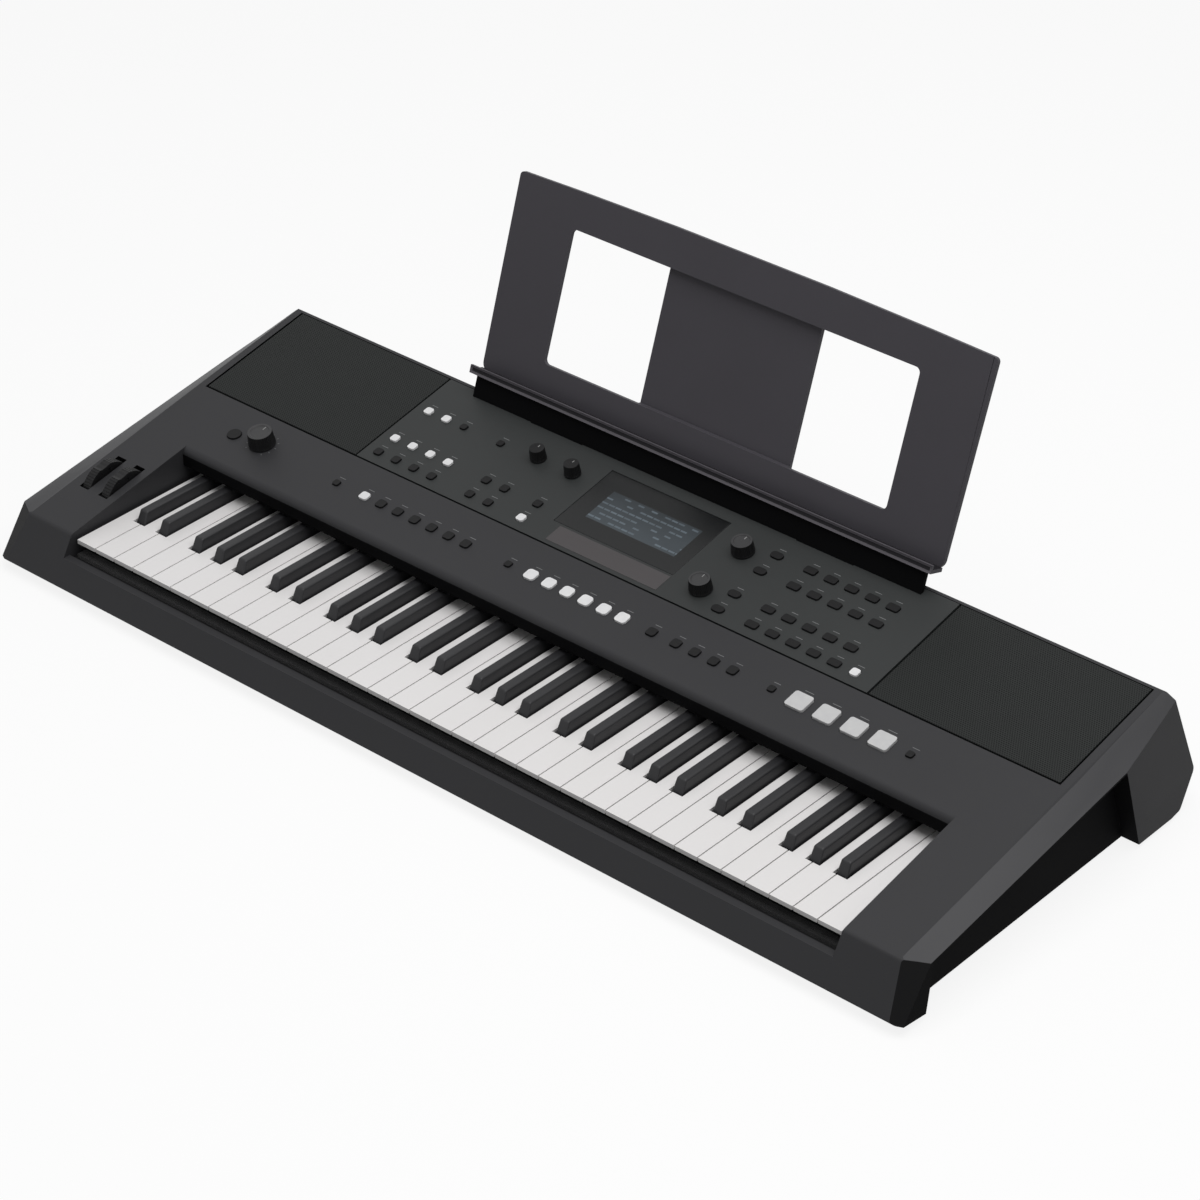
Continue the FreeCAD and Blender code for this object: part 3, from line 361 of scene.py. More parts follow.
finishLooks = {
    "caseShell": {"colour": "2e2e30", "specular": 0.26, "roughness": 0.56, "grainScale": 1500.0,
                  "cloud": 0.22, "speckle": 0.30, "bump": 0.28},
    "baseShell": {"colour": "292a2b", "specular": 0.22, "roughness": 0.60, "grainScale": 1200.0,
                  "cloud": 0.25, "speckle": 0.30, "bump": 0.35},
    "panelSheet": {"colour": "2e3030", "specular": 0.26, "roughness": 0.52, "grainScale": 1900.0,
                   "cloud": 0.20, "speckle": 0.26, "bump": 0.20},
    "blackKey": {"colour": "262628", "specular": 0.36, "roughness": 0.42, "grainScale": 2200.0,
                 "cloud": 0.20, "speckle": 0.22, "bump": 0.16},
    "darkButton": {"colour": "0f0f10", "specular": 0.22, "roughness": 0.58, "grainScale": 2400.0,
                   "cloud": 0.20, "speckle": 0.30, "bump": 0.20},
    "knobSkirt": {"colour": "121213", "specular": 0.24, "roughness": 0.50, "grainScale": 2400.0,
                  "cloud": 0.20, "speckle": 0.20, "bump": 0.15},
    # a lighter tone on the knob caps, a painted highlight where the top faces the light
    "knobCap": {"colour": "39393a", "specular": 0.28, "roughness": 0.44, "grainScale": 2600.0,
                "cloud": 0.20, "speckle": 0.20, "bump": 0.12},
    "wheelPlastic": {"colour": "141415", "specular": 0.26, "roughness": 0.48, "grainScale": 2200.0,
                     "cloud": 0.20, "speckle": 0.20, "bump": 0.15},
    "restPlastic": {"colour": "464449", "specular": 0.24, "roughness": 0.55, "grainScale": 1600.0,
                    "cloud": 0.22, "speckle": 0.26, "bump": 0.24},
    # a lighter copy of the rest colour, a painted highlight on the lip
    "restLip": {"colour": "575459", "specular": 0.26, "roughness": 0.50, "grainScale": 1600.0,
                "cloud": 0.22, "speckle": 0.26, "bump": 0.22},
    # a darker copy of the rest colour, painted shade on the tray top and in the groove
    "restShade": {"colour": "1b1a1d", "specular": 0.18, "roughness": 0.60, "grainScale": 1600.0,
                  "cloud": 0.22, "speckle": 0.26, "bump": 0.24},
    # near black painted into hollows, gaps and the rest's foot as painted shade
    "innerBlack": {"colour": "060607", "specular": 0.06, "roughness": 0.80, "grainScale": 1200.0,
                   "cloud": 0.25, "speckle": 0.30, "bump": 0.25},
    # a lighter copy of the case colour, a painted highlight on the end band
    "endBand": {"colour": "3c3c3e", "specular": 0.30, "roughness": 0.48, "grainScale": 1500.0,
                "cloud": 0.20, "speckle": 0.26, "bump": 0.22},
    # a darker copy of the case colour, painted shade on the front corners
    "endCorner": {"colour": "0d0d0e", "specular": 0.12, "roughness": 0.55, "grainScale": 1500.0,
                  "cloud": 0.20, "speckle": 0.26, "bump": 0.25},
    # a darker copy of the case colour, painted shade on the rear blocks' sides
    "endSide": {"colour": "1e1e20", "specular": 0.20, "roughness": 0.58, "grainScale": 1500.0,
                "cloud": 0.20, "speckle": 0.26, "bump": 0.25},
    "socketPlastic": {"colour": "18181a", "specular": 0.28, "roughness": 0.48, "grainScale": 1800.0,
                      "cloud": 0.20, "speckle": 0.22, "bump": 0.20},
    "chassisPlastic": {"colour": "161617", "specular": 0.20, "roughness": 0.65, "grainScale": 1200.0,
                       "cloud": 0.20, "speckle": 0.22, "bump": 0.20},
    "footRubber": {"colour": "1a1a1a", "specular": 0.14, "roughness": 0.82, "grainScale": 1000.0,
                   "cloud": 0.30, "speckle": 0.40, "bump": 0.50},
    "contactRubber": {"colour": "8a8b8c", "specular": 0.18, "roughness": 0.75, "grainScale": 1400.0,
                      "cloud": 0.25, "speckle": 0.20, "bump": 0.25},
    "speakerBlack": {"colour": "1c1c1d", "specular": 0.20, "roughness": 0.70, "grainScale": 900.0,
                     "cloud": 0.30, "speckle": 0.40, "bump": 0.40},
    "infoStrip": {"colour": "4b4849", "specular": 0.24, "roughness": 0.50, "grainScale": 1700.0,
                  "cloud": 0.25, "speckle": 0.20, "bump": 0.10},
    "markPaint": {"colour": "747576", "specular": 0.20, "roughness": 0.60, "grainScale": 3000.0,
                  "cloud": 0.10, "speckle": 0.20, "bump": 0.05},
    "pointerPaint": {"colour": "8f8f8e", "specular": 0.25, "roughness": 0.50, "grainScale": 3000.0,
                     "cloud": 0.10, "speckle": 0.15, "bump": 0.05},
}
plastics = {name: mouldedPlastic(name, look, plasticShared) for name, look in finishLooks.items()}

keyLook = {"colour": "ebe9e9", "warm": "e4e2e1", "index": 1.49, "specular": 0.4, "roughness": 0.34,
           "haze": 0.16, "cloudScale": 9.0, "hazeScale": 700.0, "bump": 0.05, "depth": 0.1 * mm}


def whiteKeyFinish(look):            # satin off-white with a faint warm cast and a very fine polish haze
    finish, shader, place = startFinish("whiteKey", {"IOR": look["index"],
                                                     "Specular IOR Level": look["specular"]})
    cloud = place.noise(look["cloudScale"], cloudDetail)
    haze = place.noise(look["hazeScale"])
    feed(shader, "Base Color", cloud.between(tint(look["colour"]), tint(look["warm"])))
    feed(shader, "Roughness", look["roughness"] + haze.swing(look["haze"]))
    feed(shader, "Normal", haze.bump(look["bump"], look["depth"]))
    return finish


# glow: a painted glow on the white caps, which are no lamps
buttonLook = {"colour": "e4e4e4", "edge": "d6d6d8", "roughness": 0.45, "glow": 0.05}
padLook = {"colour": "cbcbca", "edge": "bcbcbe", "roughness": 0.50, "glow": 0.02}
capShared = {"index": 1.49, "specular": 0.3, "cloudScale": 160.0, "grainScale": 1800.0, "gloss": 0.15,
             "bump": 0.08, "depth": 0.1 * mm}


def whiteButtonFinish(name, look, shared):   # translucent white cap with a weak painted glow
    finish, shader, place = startFinish(name, {"IOR": shared["index"],
                                               "Specular IOR Level": shared["specular"],
                                               "Emission Strength": look["glow"]})
    cloud = place.noise(shared["cloudScale"])
    grain = place.noise(shared["grainScale"])
    colour = cloud.between(tint(look["edge"]), tint(look["colour"]))
    feed(shader, "Base Color", colour)
    feed(shader, "Emission Color", colour)
    feed(shader, "Roughness", look["roughness"] + grain.swing(shared["gloss"]))
    feed(shader, "Normal", grain.bump(shared["bump"], shared["depth"]))
    return finish


grilleLook = {"metal": "191c1b", "hole": "060707", "specular": 0.22, "pitch": 2.2 * mm, "rowShare": 0.866,
              "holeShare": 0.085, "cloud": 0.4, "cloudScale": 30.0, "speckle": 0.3, "grainScale": 1800.0,
              "dark": 0.7, "light": 1.3, "roughness": 0.55, "holeGloss": 0.3, "gloss": 0.1,
              "bump": 0.6, "depth": 0.3 * mm}


def grilleFinish(look):              # painted sheet with round holes in staggered rows
    finish, shader, place = startFinish("grilleSheet", {"Specular IOR Level": look["specular"]})
    across = place.axis(0) / look["pitch"]
    along = place.axis(1) / (look["pitch"] * math.cos(panelTilt) * look["rowShare"])
    stagger = (along.floor() * 0.5).part()
    u = (across + stagger).part() - 0.5
    v = (along.part() - 0.5) * look["rowShare"]
    hole = u * u + v * v < look["holeShare"]
    cloud = place.noise(look["cloudScale"], cloudDetail)
    grain = place.noise(look["grainScale"])
    tone = cloud.swing(look["cloud"]) + grain.swing(look["speckle"]) + 0.5
    paint = tone.shades(look["metal"], look["dark"], look["light"])
    feed(shader, "Base Color", hole.between(paint, tint(look["hole"])))
    feed(shader, "Roughness", look["roughness"] + hole * look["holeGloss"] + grain.swing(look["gloss"]))
    feed(shader, "Normal", (1 - hole).bump(look["bump"], look["depth"]))
    return finish


displayLook = {
    "glass": "171c1f", "border": "0b0d0e", "lit": "a6b8c6", "unlit": "000000", "index": 1.5,
    "specular": 0.3, "glow": 0.26,
    "activeLow": (-54.0 * mm, 281.0 * mm), "activeHigh": (45.0 * mm, 319.0 * mm),
    "rowPitch": 6.3 * mm, "barLow": 0.42, "barHigh": 0.72, "dashPitch": 7.5 * mm, "dashFill": 0.86,
    "blanks": 0.36, "haze": 0.04, "cloud": 0.20, "cloudScale": 26.0, "fade": 0.16, "bar": 0.24,
    "barSpread": 0.4, "roughness": 0.16, "gloss": 0.10, "glossScale": 420.0,
}


def displayFinish(look):             # dark glass over a faintly lit page of plain bars
    finish, shader, place = startFinish("displayGlass", {"IOR": look["index"],
                                                         "Specular IOR Level": look["specular"],
                                                         "Emission Strength": look["glow"]})
    x = place.axis(0)
    y = place.axis(1) - caseFront
    low, high = look["activeLow"], look["activeHigh"]
    inside = (x > low[0]) * (x < high[0]) * (y > low[1]) * (y < high[1])
    line = (y - low[1]) / look["rowPitch"]
    dash = (x - low[0]) / look["dashPitch"]
    cell = place.node("ShaderNodeCombineXYZ", None, {0: dash.floor(), 1: line.floor()})
    chance = place.node("ShaderNodeTexWhiteNoise", {"noise_dimensions": "2D"}, {"Vector": cell})
    inRow = (line.part() > look["barLow"]) * (line.part() < look["barHigh"])
    written = inRow * (dash.part() < look["dashFill"]) * (chance > look["blanks"])
    cloud = place.noise(look["cloudScale"])
    fade = (high[1] - y) / (high[1] - low[1])
    page = inside * (look["haze"] + cloud * look["cloud"] + fade * look["fade"]
                     + written * (look["bar"] + look["barSpread"] * chance))
    feed(shader, "Base Color", inside.between(tint(look["border"]), tint(look["glass"])))
    feed(shader, "Emission Color", page.between(tint(look["unlit"]), tint(look["lit"])))
    feed(shader, "Roughness", look["roughness"] + place.noise(look["glossScale"]) * look["gloss"])
    return finish


metalLooks = {
    "brushedSteel": {"colour": "b4b4b6", "roughness": 0.34, "stretch": (1.0, 8.0, 8.0)},
    "platedMetal": {"colour": "c9c9cb", "roughness": 0.24, "stretch": (4.0, 1.0, 4.0)},
}
metalShared = {"brushScale": 900.0, "brushDetail": 3.0, "dark": 0.78, "light": 1.05, "gloss": 0.2,
               "bump": 0.08, "depth": 0.1 * mm}


def metalFinish(name, look, shared):
    finish, shader, place = startFinish(name, {"Metallic": 1.0})
    mapped = place.node("ShaderNodeMapping", None, {"Vector": place, "Scale": look["stretch"]})
    brush = mapped.noise(shared["brushScale"], shared["brushDetail"])
    feed(shader, "Base Color", brush.shades(look["colour"], shared["dark"], shared["light"]))
    feed(shader, "Roughness", look["roughness"] + brush.swing(shared["gloss"]))
    feed(shader, "Normal", brush.bump(shared["bump"], shared["depth"]))
    return finish


boardLook = {"mask": "0f4a2a", "trace": "1c6a3e", "specular": 0.4, "pitches": (3.2 * mm, 4.1 * mm),
             "runShares": (0.16, 0.14), "patchScale": 45.0, "patchShare": 0.5, "roughness": 0.34,
             "gloss": 0.2, "glossScale": 500.0}


def boardFinish(look):               # solder mask with a faint net of copper runs under it
    finish, shader, place = startFinish("circuitBoard", {"Specular IOR Level": look["specular"]})
    across, along = [(place.axis(index) / pitch).part() < share
                     for index, (pitch, share) in enumerate(zip(look["pitches"], look["runShares"]))]
    patch = place.noise(look["patchScale"]) > look["patchShare"]
    copper = across.most(along) * patch
    feed(shader, "Base Color", copper.between(tint(look["mask"]), tint(look["trace"])))
    feed(shader, "Roughness", look["roughness"] + place.noise(look["glossScale"]) * look["gloss"])
    return finish


feltLook = {"colour": "0f0f10", "fibre": "1c1c1e", "specular": 0.05, "sheen": 0.4, "fibreScale": 1600.0,
            "fibreDetail": 4.0, "fibreRoughness": 0.7, "roughness": 0.85, "gloss": 0.1,
            "bump": 0.7, "depth": 0.6 * mm}


def feltFinish(look):
    finish, shader, place = startFinish("feltStrip", {"Specular IOR Level": look["specular"],
                                                      "Sheen Weight": look["sheen"]})
    fibre = place.noise(look["fibreScale"], look["fibreDetail"], look["fibreRoughness"])
    feed(shader, "Base Color", fibre.between(tint(look["colour"]), tint(look["fibre"])))
    feed(shader, "Roughness", look["roughness"] + fibre * look["gloss"])
    feed(shader, "Normal", fibre.bump(look["bump"], look["depth"]))
    return finish


whiteKey = whiteKeyFinish(keyLook)
whiteButton = whiteButtonFinish("whiteButton", buttonLook, capShared)
whitePad = whiteButtonFinish("whitePad", padLook, capShared)
grilleSheet = grilleFinish(grilleLook)
displayGlass = displayFinish(displayLook)
metals = {name: metalFinish(name, look, metalShared) for name, look in metalLooks.items()}
circuitBoard = boardFinish(boardLook)
feltStrip = feltFinish(feltLook)
print("finishes made:", len(bpy.data.materials))

# Inner pieces keep their own meshes and get a finish
innerFinishes = {
    "display_module": plastics["socketPlastic"], "panel_board": circuitBoard, "main_board": circuitBoard,
    "rotary_controls": metals["platedMetal"], "key_chassis": plastics["chassisPlastic"],
    "key_contact_board": circuitBoard, "key_contact_rubber": plastics["contactRubber"],
    "key_felt_strips": feltStrip, "left_speaker": plastics["speakerBlack"],
    "right_speaker": plastics["speakerBlack"], "wheel_bracket": plastics["chassisPlastic"],
    "wheel_axle": metals["brushedSteel"],
}
for node, finish in innerFinishes.items():
    coat(frame["nodes"][node], finish)

# Case, sheets and music rest: the CAD shape with its edges eased
shellLooks = {
    "upper_case": {"finish": plastics["caseShell"], "bevel": 0.45 * mm, "angle": 22},
    "lower_case": {"finish": plastics["baseShell"], "bevel": 0.40 * mm, "angle": 22},
    "centre_panel": {"finish": plastics["panelSheet"], "bevel": 0.25 * mm},
    "left_grille": {"finish": grilleSheet, "bevel": 0.6 * mm, "segments": 3},
    "right_grille": {"finish": grilleSheet, "bevel": 0.6 * mm, "segments": 3},
    "display_window": {"finish": displayGlass, "bevel": 0.5 * mm, "segments": 3},
    "music_rest": {"finish": plastics["restPlastic"], "bevel": 0.7 * mm, "segments": 3,
                   "cuts": (-190 * mm, -83 * mm, 83 * mm, 190 * mm)},
    "jack_bay": {"finish": plastics["socketPlastic"], "bevel": 0.3 * mm},
    "rubber_feet": {"finish": plastics["footRubber"], "bevel": 1.0 * mm, "segments": 3},
}
shells = {node: dressNode(node, **look) for node, look in shellLooks.items()}

# Painted shade: the key well, panel pocket, wheel slots and the hollows in both ends are painted near black where
# shade falls
hollowLook = {"wellHalf": 428.5 * mm, "wellFront": 19.9 * mm, "wellBack": 176.0 * mm, "wellDrop": 6.0 * mm,
              "railBack": 22.0 * mm, "railUp": 0.8, "innerHalf": 476.0 * mm, "innerFront": 178.0 * mm,
              "innerBack": 364.0 * mm, "innerDrop": 0.5 * mm, "slotFront": 60.0 * mm,
              "slotBack": 225.0 * mm, "endWall": 483.6 * mm, "endFront": 27.0 * mm,
              "endBack": 340.0 * mm, "endAside": 0.2, "endUnder": -0.3}


def outwardShare(centre, normal):    # how squarely a face looks out of the end that it is nearer to
    return normal.x * math.copysign(1.0, centre.x)


# the faces of the hollows that get the painted shade
def paintedShadeHollow(centre, normal):
    look = hollowLook
    y = centre.y - caseFront
    drop = panelHeight(centre.y) - centre.z
    across = abs(centre.x)
    outward = outwardShare(centre, normal)
    rail = normal.z > look["railUp"] and y < look["railBack"]
    well = (across < look["wellHalf"] and look["wellFront"] < y < look["wellBack"]
            and drop > look["wellDrop"] and abs(normal.x) < aslant)
    pocket = across < look["innerHalf"] and look["innerFront"] < y < look["innerBack"]
    slot = -look["innerHalf"] < centre.x < -look["wellHalf"] and look["slotFront"] < y < look["slotBack"]
    end = across > look["endWall"] and y > look["endFront"]
    endWall = outward > squareOn and across < look["endWall"] + mm
    endSide = abs(normal.y) > aslant and outward < look["endAside"] and y < look["endBack"]
    return ((well and not rail) or ((pocket or slot) and drop > look["innerDrop"])
            or (end and (endWall or endSide or normal.z < look["endUnder"])))


# The faceted ends, with painted light: the band along the top edge is painted lighter as a painted highlight, the
# front corner and the rear block's sides darker as painted shade
facetLook = {"bandInset": 19.0 * mm, "bandDrop": 20.0 * mm, "bandOut": (0.04, 0.8), "bandUp": 0.5,
             "bandForward": -0.05, "cornerBack": 42.0 * mm, "cornerInset": 21.5 * mm, "cornerOut": 0.25,
             "cornerForward": -0.1, "cornerUp": 0.6, "tipOut": 0.95, "blockFront": 300.0 * mm,
             "blockOut": 0.6, "blockUp": 0.5}


def onBand(centre, normal):
    look = facetLook
    least, most = look["bandOut"]
    return (abs(centre.x) > caseHalf - look["bandInset"] and least < outwardShare(centre, normal) < most
            and normal.z > look["bandUp"] and normal.y < look["bandForward"]
            and panelHeight(centre.y) - centre.z < look["bandDrop"])


def onCorner(centre, normal):
    look = facetLook
    return (abs(centre.x) > caseHalf - look["cornerInset"] and centre.y - caseFront < look["cornerBack"]
            and outwardShare(centre, normal) > look["cornerOut"] and normal.y < look["cornerForward"]
            and normal.z < look["cornerUp"])


# painted shade: the flat end beside the front corner is painted near black
def onTip(centre, normal):           # the flat end beside the corner, in front of the block
    return (abs(centre.x) > caseHalf - mm and centre.y - caseFront < facetLook["blockFront"]
            and outwardShare(centre, normal) > facetLook["tipOut"])


def onBlock(centre, normal):
    look = facetLook
    return (abs(centre.x) > hollowLook["endWall"] and centre.y - caseFront > look["blockFront"]
            and outwardShare(centre, normal) > look["blockOut"] and normal.z < look["blockUp"])


# painted light on both shells: a painted highlight on the end band, painted shade on corners, block sides, flat
# ends and hollows
for node in ("upper_case", "lower_case"):    # a later zone covers an earlier one
    addZone(shells[node], plastics["endBand"], onBand)
    addZone(shells[node], plastics["endCorner"], onCorner)
    addZone(shells[node], plastics["endSide"], onBlock)
    # painted shade: hollows and flat ends painted near black
    addZone(shells[node], plastics["innerBlack"],
            lambda centre, normal: paintedShadeHollow(centre, normal) or onTip(centre, normal))

# The music rest: a groove along its lip; the lip is painted lighter as a painted highlight, the tray top and the
# groove darker and the foot below black, as painted shade
restLook = {"footBelow": -191.8 * mm, "trayBelow": -187.4 * mm, "trayFront": 4.2 * mm,
            "lipFront": 17.4 * mm, "lipOut": 0.99, "lipRim": 2.1 * mm, "grooveDepth": 1.0 * mm,
            "grooveBelow": 20.1 * mm}
restAxis = Vector(joints["music_rest_lift"]["axis"]).normalized()
restOut = Vector((0.0, -restAxis.z, restAxis.y))
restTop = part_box("music_rest")[1]


def grooveLip(piece, look):
    pickFaces(piece, lambda centre, normal: normal.dot(restOut) > look["lipOut"]
              and (centre - restTop).dot(restOut) > look["lipFront"])
    bpy.ops.mesh.inset(thickness=look["lipRim"], depth=-look["grooveDepth"])
    leaveEdit()
    smoothFaces(piece)


def restFinish(centre, normal):      # which finish a face of the rest has
    look = restLook
    up = (centre - restTop).dot(restAxis)
    out = (centre - restTop).dot(restOut)
    # painted shade: the tray's top is painted dark
    onTray = up < look["trayBelow"] and out > look["trayFront"] and normal.dot(restAxis) > aslant
    inGroove = out < look["grooveBelow"] and normal.dot(restOut) > aslant
    # painted shade: the foot below the tray is painted black
    if up < look["footBelow"]:
        return "innerBlack"
    # painted highlight: the lip is painted lighter, and its groove darker as painted shade
    if out > look["lipFront"]:
        return "restShade" if inGroove else "restLip"
    return "restShade" if onTray else "restPlastic"


grooveLip(shells["music_rest"], restLook)
# painted light on the rest: painted highlight on the lip, painted shade on tray, groove and foot
for zone in ("innerBlack", "restLip", "restShade"):
    addZone(shells["music_rest"], plastics[zone],
            lambda centre, normal: restFinish(centre, normal) == zone)
print("case and rest dressed")

# Keys: the white ones have eased edges, the black ones a well rounded top and nose
keyEdges = {"whites": 0.6 * mm, "blacks": 1.9 * mm, "segments": 4, "topReach": 0.1 * mm}


def roundBlacks(node, look):
    piece = mergedCopy(node)
    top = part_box(node)[1].z - look["topReach"]
    pickEdges(piece, lambda spot: spot.z > top)
    bpy.ops.mesh.bevel(offset=look["blacks"], segments=look["segments"], affect="EDGES",
                       clamp_overlap=True)
    leaveEdit()
    smoothFaces(piece)
    coat(piece, plastics["blackKey"])
    mount(piece, bodyOf[node], slotOf[node], node)


for node, slot in slotOf.items():
    if slot == "white_key_plastic":
        dressNode(node, whiteKey, keyEdges["whites"], keyEdges["segments"])
    if slot == "black_key_plastic":
        roundBlacks(node, keyEdges)
print("keys dressed")

# Buttons and pads
buttonEdges = {"dark_button": 0.5 * mm, "white_button": 0.6 * mm, "segments": 3}
for node, slot in slotOf.items():
    if slot == "dark_button":
        dressNode(node, plastics["darkButton"], buttonEdges[slot], buttonEdges["segments"])
    if slot == "white_button":
        lamp = whitePad if node.startswith("pad") else whiteButton
        dressNode(node, lamp, buttonEdges[slot], buttonEdges["segments"])
print("buttons dressed")

# Knobs: fluted skirt, dished cap and a pointer line
knobLooks = {
    "volume": {"nodes": ("volume_knob",), "radius": 12.5 * mm, "height": 14.0 * mm, "flutes": 40,
               "dish": 0.7 * mm, "capShare": 0.80, "cap": "knobCap"},
    "tone": {"nodes": ("left_tone_knob", "right_tone_knob"), "radius": 7.6 * mm, "height": 12.0 * mm,
             "flutes": 28, "dish": 0.4 * mm, "capShare": 0.72, "cap": "knobSkirt"},
    "dial": {"nodes": ("upper_dial", "lower_dial"), "radius": 10.4 * mm, "height": 12.0 * mm, "flutes": 36,
             "dish": 0.9 * mm, "capShare": 0.80, "cap": "knobCap"},
}
knobShared = {"lift": 0.4 * mm, "foot": 1.6 * mm, "taper": 0.9, "dishRim": 0.5 * mm,
              "stemRadius": 3.0 * mm, "stemDepth": 10.0 * mm, "skirtShare": 0.85, "fluteRimShare": 0.12,
              "fluteDepth": 0.35 * mm, "capReachShare": 0.97, "capDepth": 0.3 * mm, "capUp": 0.3,
              "edge": 0.25 * mm, "crease": 42}
pointerLook = {"width": 0.8 * mm, "lengthShare": 0.34, "thick": 0.5 * mm, "rimGap": 0.6 * mm,
               "edge": 0.12 * mm}


def modelKnob(look, shared):         # about the local Z axis, with the panel at nought
    radius = look["radius"]
    taper = shared["taper"]
    bottom = shared["lift"] + shared["foot"]
    top = shared["lift"] + look["height"]
    deselectAll()
    bpy.ops.mesh.primitive_cylinder_add(vertices=look["flutes"] * 2, radius=radius, depth=top - bottom,
                                        location=(0, 0, (bottom + top) / 2))
    knob = settle(bpy.context.object)
    # the skirt tapers, the cap is dished, the foot is plain and the stem goes through the sheet
    pickFaces(knob, lambda centre, normal: normal.z > squareOn)
    bpy.ops.transform.resize(value=(taper, taper, 1.0), center_override=(0, 0, top))
    bpy.ops.mesh.inset(thickness=radius * taper * (1 - look["capShare"]))
    bpy.ops.mesh.inset(thickness=shared["dishRim"], depth=-look["dish"])
    leaveEdit()
    pickFaces(knob, lambda centre, normal: normal.z < -squareOn)
    pushFaces((0, 0, -shared["foot"]))
    bpy.ops.mesh.inset(thickness=radius - shared["stemRadius"])
    pushFaces((0, 0, -shared["lift"] - shared["stemDepth"]))
    leaveEdit()
    # every second face above the foot becomes a flute
    step = math.pi / look["flutes"]
    pickFaces(knob, lambda centre, normal: abs(normal.z) < aslant and centre.z > bottom
              and math.hypot(centre.x, centre.y) > radius * shared["skirtShare"]
              and int(round(math.atan2(centre.y, centre.x) / step - 0.5)) % 2 == 0)
    bpy.ops.mesh.inset(thickness=radius * step * shared["fluteRimShare"], depth=-shared["fluteDepth"],
                       use_individual=True)
    leaveEdit()
    outwardFaces(knob)
    softenEdges(knob, shared["edge"], 2, shared["crease"])
    finishes = (plastics["knobSkirt"], plastics[look["cap"]], plastics["pointerPaint"])
    capTop = top - look["dish"]
    coat(knob, *finishes)
    # the cap gets the look's cap finish, on the volume knob and dials painted lighter than the skirt as a painted
    # highlight
    paintFaces(knob, 1, lambda centre, normal: normal.z > shared["capUp"]
               and centre.z > capTop - shared["capDepth"]
               and math.hypot(centre.x, centre.y) < radius * taper * shared["capReachShare"])
    # the pointer runs from the cap's rim towards its middle
    length = radius * pointerLook["lengthShare"]
    bpy.ops.mesh.primitive_cube_add(size=1.0)
    pointer = bpy.context.object
    pointer.scale = (pointerLook["width"], length, pointerLook["thick"])
    pointer.location = (0, radius * taper * look["capShare"] - length / 2 - pointerLook["rimGap"], capTop)
    softenEdges(settle(pointer), pointerLook["edge"], 2, shared["crease"])
    coat(pointer, *finishes)
    paintFaces(pointer, 2, lambda centre, normal: True)
    return joinAll([knob, pointer], "knob")


for look in knobLooks.values():
    knob = modelKnob(look, knobShared)
    for node in look["nodes"]:
        place = joints[node + "_turn"]["pos_m"]
        twin = setDown(copyOf(knob, camelName(node)), panelPlace(place[0], place[1]))
        mount(twin, bodyOf[node], slotOf[node], node)
    dropPiece(knob)
print("knobs made")

# Pitch and modulation wheels: ribbed rims with a finger hollow at the top
wheelLook = {"nodes": ("pitch_wheel", "modulation_wheel"), "ribs": 60, "ribRimShare": 0.04,
             "ribDepth": 0.45 * mm, "hollow": 1.4 * mm, "hollowHalf": 11.0,
             "hollowSteps": ((1.0, 0.4), (0.55, 0.6)), "rimShare": 0.12, "stepRim": 0.6 * mm,
             "stepDepth": 0.5 * mm, "axleRadius": 3.05 * mm, "edge": 0.18 * mm, "crease": 48}


def modelWheel(look):                # about the local X axis
    low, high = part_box(look["nodes"][0])
    radius = (high.z - low.z) / 2
    width = high.x - low.x
    deselectAll()
    bpy.ops.mesh.primitive_cylinder_add(vertices=look["ribs"] * 2, radius=radius, depth=width,
                                        rotation=(0, math.pi / 2, 0))
    wheel = settle(bpy.context.object)
    step = math.pi / look["ribs"]
    crown = math.radians(90) + panelTilt

    def away(centre):                # degrees from the top of the wheel
        turn = math.atan2(centre.z, centre.y) - crown
        return abs(math.degrees(math.atan2(math.sin(turn), math.cos(turn))))

    for reachShare, depthShare in look["hollowSteps"]:
        pickFaces(wheel, lambda centre, normal: abs(normal.x) < aslant
                  and away(centre) < look["hollowHalf"] * reachShare)
        bpy.ops.transform.translate(value=tuple(-panelUp * look["hollow"] * depthShare))
        leaveEdit()
    pickFaces(wheel, lambda centre, normal: abs(normal.x) < aslant and away(centre) > look["hollowHalf"]
              and int(math.floor(math.atan2(centre.z, centre.y) / step)) % 2 == 0)
    bpy.ops.mesh.inset(thickness=width * look["ribRimShare"], depth=-look["ribDepth"], use_individual=True)
    leaveEdit()
    # both sides step in behind the rim and are bored for the axle
    pickFaces(wheel, lambda centre, normal: abs(normal.x) > squareOn)
    bpy.ops.mesh.inset(thickness=radius * look["rimShare"])
    bpy.ops.mesh.inset(thickness=look["stepRim"], depth=-look["stepDepth"])
    bpy.ops.mesh.inset(thickness=radius * (1 - look["rimShare"]) - look["stepRim"] - look["axleRadius"])
    bpy.ops.mesh.bridge_edge_loops()
    leaveEdit()
    outwardFaces(wheel)
    softenEdges(wheel, look["edge"], 2, look["crease"])
    coat(wheel, plastics["wheelPlastic"])
    return wheel


wheel = modelWheel(wheelLook)
for node in wheelLook["nodes"]:
    low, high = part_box(node)
    twin = setDown(copyOf(wheel, camelName(node)), Matrix.Translation((low + high) / 2))
    mount(twin, bodyOf[node], slotOf[node], node)
dropPiece(wheel)
print("wheels made")

